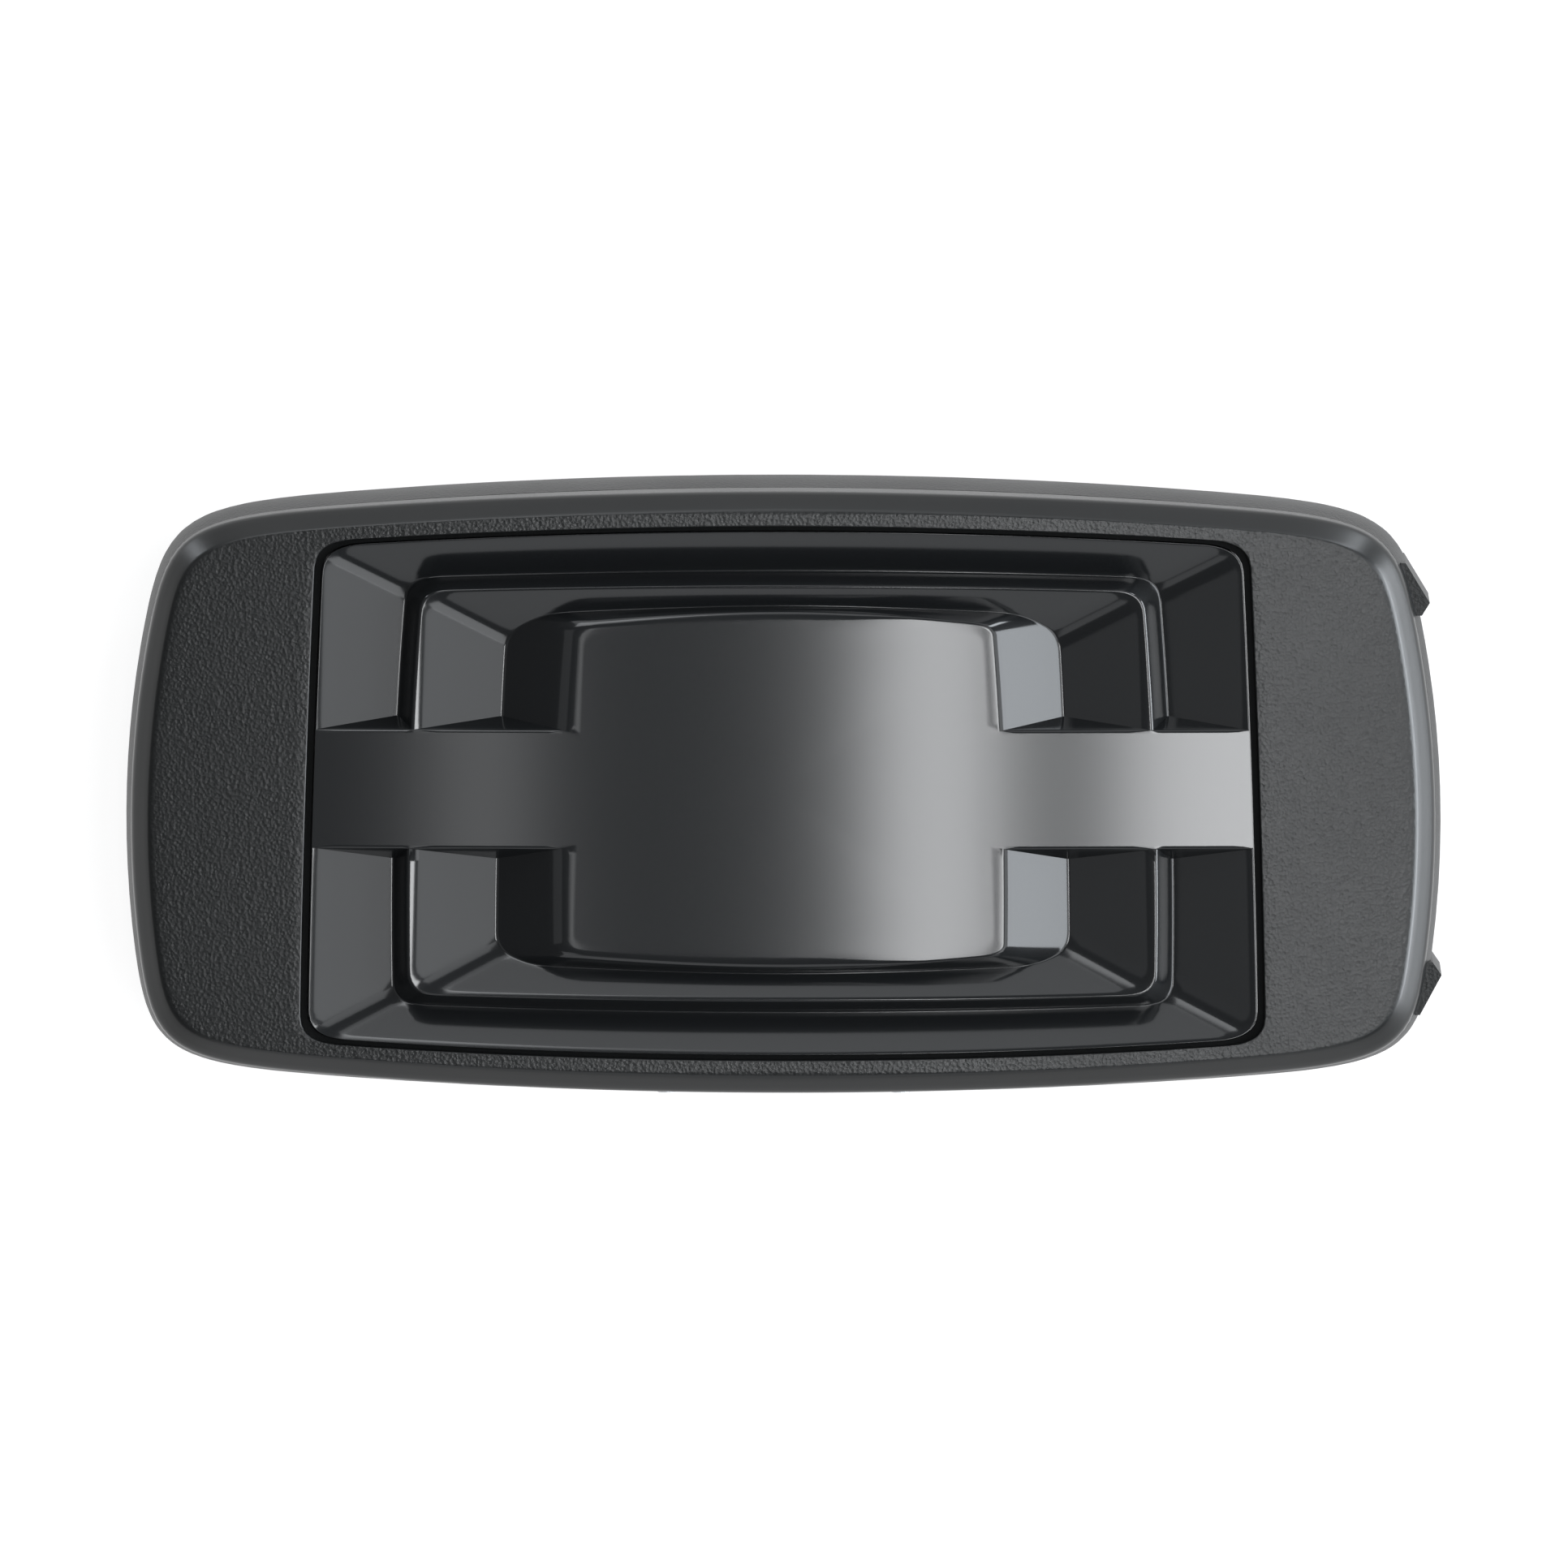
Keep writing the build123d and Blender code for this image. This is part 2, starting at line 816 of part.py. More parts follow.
# Network jack: a shielded eight-way socket that hangs from the board
port_front = bay_x - port_gap
net_back = port_front - net_length
net_bottom = board_height - net_height
socket_top = board_height - socket_rise
socket_bottom = socket_top - socket_height
contact_back = port_front - socket_depth

with BuildPart() as network_jack_shield:
    with BuildSketch(Plane.YZ.offset(net_back)):
        with Locations((net_y, net_bottom)):
            Rectangle(net_width, net_height, align=(Align.CENTER, Align.MIN))
    extrude(amount=net_length)
    with BuildSketch(Plane.YZ.offset(net_back + shield_thickness)):
        with Locations((net_y, net_bottom + shield_thickness)):
            Rectangle(
                net_width - 2 * shield_thickness, net_height, align=(Align.CENTER, Align.MIN)
            )
    extrude(amount=net_length, mode=Mode.SUBTRACT)
network_jack_shield.part.label = "network_jack_shield"
export_step(network_jack_shield.part, "parts/network_jack_shield.step")

with BuildPart() as network_jack_body:
    with BuildSketch(Plane.YZ.offset(net_back + shield_thickness)):
        with Locations((net_y, net_bottom + shield_thickness)):
            Rectangle(
                net_width - 2 * shield_thickness,
                net_height - shield_thickness,
                align=(Align.CENTER, Align.MIN),
            )
    extrude(amount=net_length - shield_thickness)
    with BuildSketch(Plane.YZ.offset(contact_back)):
        with Locations((net_y, socket_bottom)):
            Rectangle(socket_width, socket_height, align=(Align.CENTER, Align.MIN))
            Rectangle(latch_width, latch_height, align=(Align.CENTER, Align.MAX))
        with Locations((net_y, socket_bottom - latch_height)):
            Rectangle(latch_slot_width, latch_slot_height, align=(Align.CENTER, Align.MAX))
    extrude(amount=socket_depth, mode=Mode.SUBTRACT)
network_jack_body.part.label = "network_jack_body"
export_step(network_jack_body.part, "parts/network_jack_body.step")

# Eight sprung wires that slope down from the mouth to the back of the socket
contact_mouth = port_front - socket_depth / 5
with BuildPart() as jack_contact:
    with BuildSketch(Plane.XZ.offset(-net_y)):
        with BuildLine():
            Polyline(
                (contact_mouth, socket_top),
                (contact_mouth - contact_thickness, socket_top),
                (contact_back, socket_top - contact_drop),
                (contact_back, socket_top - contact_drop - contact_thickness),
                close=True,
            )
        make_face()
    extrude(amount=contact_thickness / 2, both=True)

with BuildPart() as network_jack_contacts:
    with GridLocations(0, contact_pitch, 1, contact_count):
        add(jack_contact.part)
network_jack_contacts.part.label = "network_jack_contacts"
export_step(network_jack_contacts.part, "parts/network_jack_contacts.step")


# Power jack: a barrel socket beside it
power_z = board_height - power_drop
with BuildPart() as power_jack_body:
    with BuildSketch(Plane.YZ.offset(port_front)):
        with Locations((power_y, board_height)):
            Rectangle(power_width, power_height, align=(Align.CENTER, Align.MAX))
    extrude(amount=-power_length)
    with BuildSketch(Plane.YZ.offset(port_front)):
        with Locations((power_y, power_z)):
            Circle(power_bore_radius)
    extrude(amount=-power_bore_depth, mode=Mode.SUBTRACT)
    with BuildSketch(Plane.YZ.offset(port_front - power_bore_depth)):
        with Locations((power_y, power_z)):
            Circle(power_pin_radius)
    extrude(amount=-power_length, mode=Mode.SUBTRACT)
    with BuildSketch(Plane.YZ.offset(port_front - overrun)):
        with Locations((power_y, power_z - power_bore_radius)):
            Rectangle(power_leaf_width, 2 * power_leaf_thickness)
    extrude(amount=overrun - power_bore_depth, mode=Mode.SUBTRACT)
power_jack_body.part.label = "power_jack_body"
export_step(power_jack_body.part, "parts/power_jack_body.step")

with BuildPart() as power_jack_pin:
    with BuildSketch(Plane.YZ.offset(port_front - power_length)):
        with Locations((power_y, power_z)):
            Circle(power_pin_radius)
    extrude(amount=power_length - power_pin_radius / 2)
    chamfer(power_jack_pin.faces().sort_by(Axis.X)[-1].edges(), length=power_pin_radius / 3)
power_jack_pin.part.label = "power_jack_pin"
export_step(power_jack_pin.part, "parts/power_jack_pin.step")

with BuildPart() as power_jack_contact:
    with BuildSketch(Plane.YZ.offset(port_front - overrun)):
        with Locations((power_y, power_z - power_bore_radius - power_leaf_thickness)):
            Rectangle(power_leaf_width, power_leaf_thickness, align=(Align.CENTER, Align.MIN))
    extrude(amount=overrun - power_bore_depth)
power_jack_contact.part.label = "power_jack_contact"
export_step(power_jack_contact.part, "parts/power_jack_contact.step")


# Reset button: a cap in the bay's back wall, which presses the plunger of a switch
button_front = bay_x + button_proud
flange_front = bay_back - button_travel / 2
button_back = flange_front - button_flange_thickness
switch_face = button_back - plunger_reach
with BuildPart() as reset_button:
    with BuildSketch(Plane.YZ.offset(button_back)):
        with Locations((button_y, button_z)):
            Circle(button_flange_radius)
    extrude(amount=button_flange_thickness)
    with BuildSketch(Plane.YZ.offset(button_back)):
        with Locations((button_y, button_z)):
            Circle(button_radius)
    extrude(amount=button_front - button_back)
    chamfer(reset_button.faces().sort_by(Axis.X)[-1].edges(), length=button_proud / 2)
reset_button.part.label = "reset_button"
export_step(reset_button.part, "parts/reset_button.step")

with BuildPart() as switch_plunger:
    with BuildSketch(Plane.YZ.offset(switch_face - plunger_seat)):
        with Locations((button_y, button_z)):
            Circle(plunger_radius)
    extrude(amount=plunger_seat + plunger_reach)
switch_plunger.part.label = "switch_plunger"
export_step(switch_plunger.part, "parts/switch_plunger.step")

with BuildPart() as reset_switch:
    with BuildSketch(Plane.YZ.offset(switch_face)):
        with Locations((button_y, board_height)):
            Rectangle(switch_width, switch_height, align=(Align.CENTER, Align.MAX))
    extrude(amount=-switch_depth)
    with BuildSketch(Plane.YZ.offset(switch_face)):
        with Locations((button_y, button_z)):
            Circle(plunger_radius + button_clearance)
    extrude(amount=-(plunger_seat + 2 * button_travel), mode=Mode.SUBTRACT)
reset_switch.part.label = "reset_switch"
export_step(reset_switch.part, "parts/reset_switch.step")


# Status lamps under the board's lower edge, and the light pipe that brings them to the wall
lamp_y = board_width / 2 - lamp_depth
with BuildPart() as status_lamps:
    with BuildSketch(Plane.XZ.offset(lamp_y)):
        with Locations((0, pipe_z)):
            with GridLocations(lamp_pitch, 0, lamp_count, 1):
                Rectangle(lamp_width, lamp_height)
    extrude(amount=lamp_depth)
status_lamps.part.label = "status_lamps"
export_step(status_lamps.part, "parts/status_lamps.step")

carrier_y = half_width - wall - 2 * carrier_thickness
with BuildPart() as light_pipe:
    with BuildSketch(Plane.XZ.offset(board_width / 2 + pipe_gap)):
        with Locations((0, pipe_z)):
            with GridLocations(lamp_pitch, 0, lamp_count, 1):
                Circle(pipe_radius)
    extrude(amount=half_width - pipe_sink - board_width / 2 - pipe_gap)
    with BuildSketch(Plane.XZ.offset(carrier_y)):
        with Locations((0, pipe_z)):
            SlotCenterToCenter((lamp_count - 1) * lamp_pitch, 2 * pipe_radius)
    extrude(amount=carrier_thickness)
light_pipe.part.label = "light_pipe"
export_step(light_pipe.part, "parts/light_pipe.step")


def package(x, y, length, width, height, edge, side=1):
    """A block on the board's upper or lower side, with its free edges bevelled."""
    with BuildPart() as body:
        with BuildSketch(Plane.XY.offset(board_top if side > 0 else board_height)):
            with Locations((x, y)):
                Rectangle(length, width)
        extrude(amount=side * height)
        free = body.faces().sort_by(Axis.Z)[-1 if side > 0 else 0]
        chamfer(free.edges(), length=edge)
    return body.part


def board_place(place_share):
    """A place on the board, from shares of its length and width."""
    return (board_length * place_share[0], board_width * place_share[1])


# Places as shares of the board's length and width
radio_share = (-0.21, 0.1)
processor_share = (0.06, 0.05)
memory_share = (0.06, -0.26)
crystal_share = (0.19, -0.28)
antenna_share = (-0.45, 0)
capacitor_shares = ((0.31, -0.16), (0.4, -0.19))
inductor_share = (0.2, -0.2)
regulator_share = (0.12, -0.24)
small_shares = ((0.08, 0.34), (-0.14, -0.3), (-0.3, -0.26), (0.28, 0.2))

# Radio: a shielding can over its chip, and the antenna at the board's far end
radio_x, radio_y = board_place(radio_share)
with BuildPart() as radio_shield:
    add(package(radio_x, radio_y, radio_length, radio_width, radio_height, chip_bevel))
    with BuildSketch(Plane.XY.offset(board_top)):
        with Locations((radio_x, radio_y)):
            Rectangle(radio_length - 2 * radio_wall, radio_width - 2 * radio_wall)
    extrude(amount=radio_height - radio_wall, mode=Mode.SUBTRACT)
radio_shield.part.label = "radio_shield"
export_step(radio_shield.part, "parts/radio_shield.step")

with BuildPart() as radio_chip:
    add(
        package(
            radio_x, radio_y, radio_chip_side, radio_chip_side, radio_chip_height, chip_bevel
        )
    )
radio_chip.part.label = "radio_chip"
export_step(radio_chip.part, "parts/radio_chip.step")

antenna_x, antenna_y = board_place(antenna_share)
antenna_pitch = (antenna_length - antenna_strip) / (antenna_legs - 1)
with BuildPart() as antenna:
    with BuildSketch(Plane.XY.offset(board_top)):
        for leg in range(antenna_legs):
            y = antenna_y + (leg - (antenna_legs - 1) / 2) * antenna_pitch
            with Locations((antenna_x, y)):
                Rectangle(antenna_width, antenna_strip)
            if leg:
                turn_side = 1 if leg % 2 else -1
                turn_x = antenna_x + turn_side * (antenna_width - antenna_strip) / 2
                with Locations((turn_x, y - antenna_pitch / 2)):
                    Rectangle(antenna_strip, antenna_pitch)
    extrude(amount=antenna_thickness)
antenna.part.label = "antenna"
export_step(antenna.part, "parts/antenna.step")

with BuildPart() as processor:
    add(package(*board_place(processor_share), processor_side, processor_side, processor_height, chip_bevel))
processor.part.label = "processor"
export_step(processor.part, "parts/processor.step")

with BuildPart() as memory_chip:
    add(package(*board_place(memory_share), memory_length, memory_width, memory_height, chip_bevel))
memory_chip.part.label = "memory_chip"
export_step(memory_chip.part, "parts/memory_chip.step")

with BuildPart() as crystal:
    with BuildSketch(Plane.XY.offset(board_top)):
        with Locations(board_place(crystal_share)):
            SlotOverall(crystal_length, crystal_width)
    extrude(amount=crystal_height)
    chamfer(crystal.faces().sort_by(Axis.Z)[-1].edges(), length=chip_bevel)
crystal.part.label = "crystal"
export_step(crystal.part, "parts/crystal.step")

# Parts under the board
with BuildPart() as network_transformer:
    add(
        package(
            net_back - transformer_gap - transformer_length / 2,
            net_y,
            transformer_length,
            transformer_width,
            transformer_height,
            2 * chip_bevel,
            side=-1,
        )
    )
network_transformer.part.label = "network_transformer"
export_step(network_transformer.part, "parts/network_transformer.step")

capacitor_places = [board_place(share) for share in capacitor_shares]
with BuildPart() as capacitors:
    with BuildSketch(Plane.XY.offset(board_height)):
        with Locations(*capacitor_places):
            RectangleRounded(2 * capacitor_radius, 2 * capacitor_radius, capacitor_radius / 4)
    extrude(amount=-capacitor_base_height)
    with BuildSketch(Plane.XY.offset(board_height - capacitor_base_height)):
        with Locations(*capacitor_places):
            Circle(capacitor_radius - capacitor_groove)
    extrude(amount=-capacitor_base_height)
    with BuildSketch(Plane.XY.offset(board_height - 2 * capacitor_base_height)):
        with Locations(*capacitor_places):
            Circle(capacitor_radius)
    extrude(amount=2 * capacitor_base_height - capacitor_height)
    chamfer(capacitors.faces().group_by(Axis.Z)[0].edges(), length=capacitor_groove / 2)
capacitors.part.label = "capacitors"
export_step(capacitors.part, "parts/capacitors.step")

with BuildPart() as power_inductor:
    with BuildSketch(Plane.XY.offset(board_height)):
        with Locations(board_place(inductor_share)):
            RectangleRounded(inductor_side, inductor_side, inductor_side / 4)
    extrude(amount=-inductor_height)
    chamfer(power_inductor.faces().sort_by(Axis.Z)[0].edges(), length=2 * chip_bevel)
power_inductor.part.label = "power_inductor"
export_step(power_inductor.part, "parts/power_inductor.step")

with BuildPart() as voltage_regulator:
    add(
        package(
            *board_place(regulator_share),
            regulator_length,
            regulator_width,
            regulator_height,
            chip_bevel,
            side=-1,
        )
    )
voltage_regulator.part.label = "voltage_regulator"
export_step(voltage_regulator.part, "parts/voltage_regulator.step")

# Rows of small parts on the board's upper side
with BuildPart() as small_components:
    with BuildSketch(Plane.XY.offset(board_top)):
        for share in small_shares:
            with Locations(board_place(share)):
                with GridLocations(0, small_pitch / 2, 1, small_count):
                    Rectangle(small_length, small_width)
    extrude(amount=small_height)
small_components.part.label = "small_components"
export_step(small_components.part, "parts/small_components.step")
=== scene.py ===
import math

import bmesh
import bpy
import numpy as np
from mathutils import Matrix, Vector


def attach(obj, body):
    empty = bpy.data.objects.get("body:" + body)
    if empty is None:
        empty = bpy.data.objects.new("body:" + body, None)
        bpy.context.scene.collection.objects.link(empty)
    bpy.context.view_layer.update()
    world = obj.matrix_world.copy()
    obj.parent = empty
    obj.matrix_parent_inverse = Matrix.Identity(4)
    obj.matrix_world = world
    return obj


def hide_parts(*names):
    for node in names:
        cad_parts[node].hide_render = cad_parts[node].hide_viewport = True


# Looks of a network gateway for a garage door opener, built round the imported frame.
# All shapes are worked out in millimetres, in the frame's own axes, and written in metres.

bl_info = {
    "name": "Network Gateway Looks",
    "version": (1, 0, 0),
    "blender": (4, 5, 0),
    "location": "3D View > Sidebar > Gateway",
    "description": "Housing, stepped face insert, ports and finishes of a network gateway",
    "category": "Object",
}

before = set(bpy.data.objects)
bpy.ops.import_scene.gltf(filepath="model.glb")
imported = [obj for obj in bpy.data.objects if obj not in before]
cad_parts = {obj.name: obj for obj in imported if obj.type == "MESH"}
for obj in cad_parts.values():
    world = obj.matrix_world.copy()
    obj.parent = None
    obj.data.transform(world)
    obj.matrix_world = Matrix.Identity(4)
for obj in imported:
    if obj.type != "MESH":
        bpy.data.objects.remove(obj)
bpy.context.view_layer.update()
MM = 0.001

# Casing: plan size, bow of the face and lean of the ends
HALF_LENGTH = 67.5
HALF_WIDTH = 31.72
FACE_Z = 29.0
FRONT_Z = 22.7
BOW_RADIUS = 625.0
LEAN = math.tan(math.radians(1.9))
LEAN_START = 18.0
CASING_LONG_RADIUS = 600.0
CASING_END_RADIUS = 105.0
CASING_CORNER_X = 22.0
CASING_CORNER_Y = 14.7
CASING_CORNER_SHARE = 0.9

# Front housing: side wall, bevel, opening for the insert and the ledge behind its gap
SIDE_FLARE = 0.75
WALL = 2.0
WALL_TURN = 1.1
BEVEL_FOOT = 0.16
BEVEL_HEAD = 0.18
FOOT_ROUND = 0.12
OPENING_ROUND = 0.16
OPENING_X = 48.75
OPENING_Y = 27.35
OPENING_LONG_RADIUS = 700.0
OPENING_END_RADIUS = 1500.0
OPENING_CORNER = 4.6
OPENING_CORNER_SHARE = 0.72
LEDGE_DEPTH = 1.1
LEDGE_X = 0.7
LEDGE_Y = 0.5
LEDGE_ROUND = 0.1

# Front housing's materials: where the gap's painted shade starts and which slopes are the smooth
# bevel
OPENING_MARGIN_X = 1.0
OPENING_MARGIN_Y = 0.1
PAINTED_SHADE_DEPTH = 0.3
BEVEL_STEEPEST = 0.15
BEVEL_FLATTEST = 0.93
SMOOTH_INDEX = 1
PAINTED_SHADE_INDEX = 2

# Face insert: gap round it, two steps, the island between them, the block with its pad, the band
GAP_X = 0.8
GAP_Y = 0.55
STEP_DEPTH = 3.1
STEP_X = 9.05
STEP_Y = 4.3
STEP_LAP = 0.12
ISLAND_X = 37.55
ISLAND_Y = 21.15
ISLAND_LONG_RADIUS = 650.0
ISLAND_CORNER = 3.4
INNER_SLOPE_RADIUS = 1300.0
INSERT_END_RADIUS = 350.0
INSERT_CORNER_SHARE = 0.68
RISER_DRAFT = 0.43
RISER_FOOT_Z = 25.4
RISER_TOP_Z = 28.0
PAD_X = 22.65
PAD_Y = 18.35
PAD_SHIFT = 0.35
PAD_LONG_RADIUS = 170.0
PAD_CORNER = 2.6
BLOCK_REACH = 5.35
BLOCK_DRAFT = 0.32
BLOCK_RADIUS_GROWTH = 194.0
BLOCK_CORNER_GROWTH = 1.2
BLOCK_FOOT_DROP = 3.3
BLOCK_DROPS = (-0.9, 5.2)
PAD_ROUND = 1.4
PAD_ROUND_RIGHT = 0.35
ROUND_FADE = 14.0
BAND_HALF = 6.08
BAND_DRAFT = 0.36
BAND_LIP = 0.35
BAND_ROUND_SHARE = 0.45
BAND_ROUND_LEAST = 0.02
VALLEY_BLEND = 1.3
EDGE_BLEND = 0.28
INSERT_WALL = 1.8
SKIRT_DEPTH = 6.0
FLANGE_START = 46.5
FLANGE_REACH = 1.5
FLANGE_DEPTHS = (3.5, 2.1)

# Mesh: columns before and after a corner's middle, places along a rounding, rings over the pad
HOUSING_COLUMNS = (18, 40)
INSERT_COLUMNS = (16, 34)
BAND_COLUMNS = 12
ROUNDING = (0.25, 0.5, 0.75)
PAD_RINGS = (0.97, 0.9, 0.78, 0.62, 0.46, 0.3, 0.15, 0.05)
BLOCK_LEVELS = 40
RING_PASSES = 4
HALVINGS = 30
TINY = 1e-9
LARGEST_SETBACK = 0.4
POINT_DECIMALS = 6
MERGE_DISTANCE = 2e-6
SHORTEST_EDGE = 1e-6
SHARP_ANGLE = math.radians(50)


# Settings that a user would change


class GatewayShape(bpy.types.PropertyGroup):
    """Small roundings of the moulded edges."""

    edge_round: bpy.props.FloatProperty(
        name="Step edge rounding",
        description="How far the rounding of a step's edge runs back from it",
        default=0.00032,
        unit="LENGTH",
    )
    bevel_round: bpy.props.FloatProperty(
        name="Bevel rounding",
        description="How far the rounding of the housing's bevel runs back from its edges",
        default=0.00045,
        unit="LENGTH",
    )
    bevel_width: bpy.props.FloatProperty(
        name="Bevel width",
        description="Width of the smooth bevel round the face",
        default=0.0019,
        unit="LENGTH",
    )
    insert_sink: bpy.props.FloatProperty(
        name="Insert depth",
        description="How far the insert's highest surface lies below the face",
        default=0.0002,
        unit="LENGTH",
    )


class GatewayFinish(bpy.types.PropertyGroup):
    """Colours of the plastics."""

    face_colour: bpy.props.FloatVectorProperty(
        name="Face",
        description="Colour of the textured front housing",
        subtype="COLOR",
        size=3,
        default=(0.007, 0.0077, 0.0079),
    )
    insert_colour: bpy.props.FloatVectorProperty(
        name="Insert",
        description="Colour of the smooth face insert",
        subtype="COLOR",
        size=3,
        default=(0.0065, 0.0073, 0.008),
    )
    rear_colour: bpy.props.FloatVectorProperty(
        name="Rear",
        description="Colour of the textured rear housing",
        subtype="COLOR",
        size=3,
        default=(0.007, 0.0077, 0.0079),
    )


class GatewayStage(bpy.types.PropertyGroup):
    """Camera's lens, view width and angles."""

    lens: bpy.props.FloatProperty(
        name="Lens",
        description="Focal length of the camera",
        default=0.6,
        unit="LENGTH",
    )
    view_width: bpy.props.FloatProperty(
        name="View width",
        description="Width of the view at the widest line of the casing",
        default=0.161,
        unit="LENGTH",
    )
    tilt: bpy.props.FloatProperty(
        name="Tilt",
        description="Angle between the view and the upright, towards the upper long side",
        default=math.radians(4.0),
        subtype="ANGLE",
    )
    turn: bpy.props.FloatProperty(
        name="Turn",
        description="Angle between the view and the upright, towards the port end",
        default=math.radians(0.8),
        subtype="ANGLE",
    )


# Plan outlines, as quarter curves from the middle of the right end to the middle of the long side


def quarter(half_x, half_y, long_radius, short_radius, corner_x, corner_y, share, count=160):
    """Two shallow arcs and the soft corner between them; the share says how full the corner is."""
    x_end = half_x - corner_x
    y_end = half_y - corner_y
    end_y = np.linspace(0, y_end, count)
    end_x = half_x - short_radius + np.sqrt(short_radius**2 - end_y**2)
    side_x = np.linspace(x_end, 0, count)
    side_y = half_y - long_radius + np.sqrt(long_radius**2 - side_x**2)
    start = np.array([end_x[-1], end_y[-1]])
    end = np.array([side_x[0], side_y[0]])
    out = np.array([-y_end / math.sqrt(short_radius**2 - y_end**2), 1.0])
    back = np.array([-1.0, x_end / math.sqrt(long_radius**2 - x_end**2)])
    span = end - start
    turn = out[0] * back[1] - out[1] * back[0]
    ahead = (span[0] * back[1] - span[1] * back[0]) / turn * share
    behind = (out[0] * span[1] - out[1] * span[0]) / turn * share
    t = np.linspace(0, 1, count)[:, None]
    controls = (start, start + out * ahead, end - back * behind, end)
    corner = sum(
        weight * control
        for weight, control in zip(
            ((1 - t) ** 3, 3 * t * (1 - t) ** 2, 3 * t**2 * (1 - t), t**3), controls
        )
    )
    return np.vstack(
        [np.column_stack([end_x, end_y])[:-1], corner[:-1], np.column_stack([side_x, side_y])]
    )


def casing_quarter(inset):
    """The casing's outline, moved inward."""
    return quarter(
        HALF_LENGTH - inset,
        HALF_WIDTH - inset,
        CASING_LONG_RADIUS - inset,
        CASING_END_RADIUS - inset,
        CASING_CORNER_X - inset,
        CASING_CORNER_Y - inset,
        CASING_CORNER_SHARE,
    )


def frame_quarter(inset_x, inset_y):
    """The outline of the opening for the insert, moved inward."""
    return quarter(
        OPENING_X - inset_x,
        OPENING_Y - inset_y,
        OPENING_LONG_RADIUS,
        OPENING_END_RADIUS,
        OPENING_CORNER,
        OPENING_CORNER,
        OPENING_CORNER_SHARE,
    )


def island_quarter(spread):
    """The outline of the island between the two steps, moved outward."""
    return quarter(
        ISLAND_X + spread,
        ISLAND_Y + spread,
        ISLAND_LONG_RADIUS,
        INSERT_END_RADIUS,
        ISLAND_CORNER,
        ISLAND_CORNER,
        INSERT_CORNER_SHARE,
    )


def block_quarter(drop):
    """The block's outline at a depth below the pad's edge."""
    spread = drop / STEP_DEPTH
    blend = max(spread, 0)
    corner = PAD_CORNER + BLOCK_CORNER_GROWTH * blend
    return quarter(
        PAD_X + BLOCK_REACH * spread,
        PAD_Y + drop * BLOCK_DRAFT,
        PAD_LONG_RADIUS + BLOCK_RADIUS_GROWTH * blend,
        INSERT_END_RADIUS,
        corner,
        corner,
        INSERT_CORNER_SHARE,
    )


def spaced(curve, start_y, middle, before, after):
    """Points along a quarter curve from a height to the long side's middle, close together about a
    middle place, which is given as an index into the curve."""
    steps = np.linalg.norm(np.diff(curve, axis=0), axis=1)
    length = np.concatenate([[0], np.cumsum(steps)])
    first = np.interp(start_y, curve[:, 1], length)
    centre = np.interp(middle, np.arange(len(curve)), length)
    rise = np.sin(np.linspace(0, 1, before + 1) * math.pi / 2)
    fall = 1 - np.cos(np.linspace(0, 1, after + 1)[1:] * math.pi / 2)
    places = np.concatenate([first + (centre - first) * rise, centre + (length[-1] - centre) * fall])
    return np.column_stack([np.interp(places, length, curve[:, i]) for i in (0, 1)])


def crossing(values):
    """The place in a list where its values change sign."""
    index = int(np.argmax(np.sign(values[:-1]) != np.sign(values[1:])))
    return index + values[index] / (values[index] - values[index + 1])


# Heights over a quarter of the face; side is 1 for the upper half and -1 for the lower


def leaned(x, y):
    """The lean of the casing's ends, which fades out towards the middle."""
    return x - LEAN * y * np.clip(x / LEAN_START, 0, 1)


def bow_height(x, y, side):
    """Height of the bowed face over a point of the plan."""
    true_x = leaned(x, side * y)
    return FACE_Z - BOW_RADIUS + np.sqrt(BOW_RADIUS**2 - true_x**2)


def bow_drop(x):
    """How far the bow has fallen at a distance from the middle."""
    return BOW_RADIUS - math.sqrt(BOW_RADIUS**2 - x**2)


def step_heights(x, y, side, half_x, half_y, plan_radius, sink):
    """Heights of a step's end slope and side slope."""
    end = FACE_Z - sink - bow_drop(half_x) - STEP_DEPTH / STEP_X * (half_x - x)
    edge = half_y - x**2 / (2 * plan_radius)
    long_side = bow_height(x, y, side) - sink - STEP_DEPTH / STEP_Y * (edge - y)
    return end, long_side


def blended(first, second, blend):
    """How much two surfaces give way to each other near the line where they meet."""
    return np.maximum(blend - np.abs(first - second), 0) ** 2 / (4 * blend)


def moulded(end, long_side, top):
    """The higher of two slopes under the bowed top, with soft valleys and a soft outer edge."""
    slope = np.maximum(end, long_side) + blended(end, long_side, VALLEY_BLEND)
    return np.minimum(slope, top) - blended(slope, top, EDGE_BLEND)


def outer_step(x, y, side, sink):
    """Heights of the outer step, and which of its slopes is the higher."""
    end, long_side = step_heights(
        x,
        y,
        side,
        OPENING_X - GAP_X + STEP_LAP,
        OPENING_Y - GAP_Y + STEP_LAP,
        OPENING_LONG_RADIUS,
        sink,
    )
    top = bow_height(x, y, side) - sink
    return moulded(end, long_side, top), end - long_side


def inner_step(x, y, side, sink):
    """Heights of the inner step, and which of its slopes is the higher."""
    end, long_side = step_heights(
        x, y, side, ISLAND_X + STEP_LAP, ISLAND_Y + STEP_LAP, INNER_SLOPE_RADIUS, sink
    )
    top = bow_height(x, y, side) - sink
    return moulded(end, long_side, top), end - long_side


def joined(xy, z):
    """Points in space from plan points and heights."""
    return np.column_stack([xy, np.broadcast_to(z, len(xy))])


def rounded(start, corner, stop):
    """Points of a rounding that runs from one place to another and bends towards a corner."""
    return [(1 - t) ** 2 * start + 2 * t * (1 - t) * corner + t**2 * stop for t in ROUNDING]


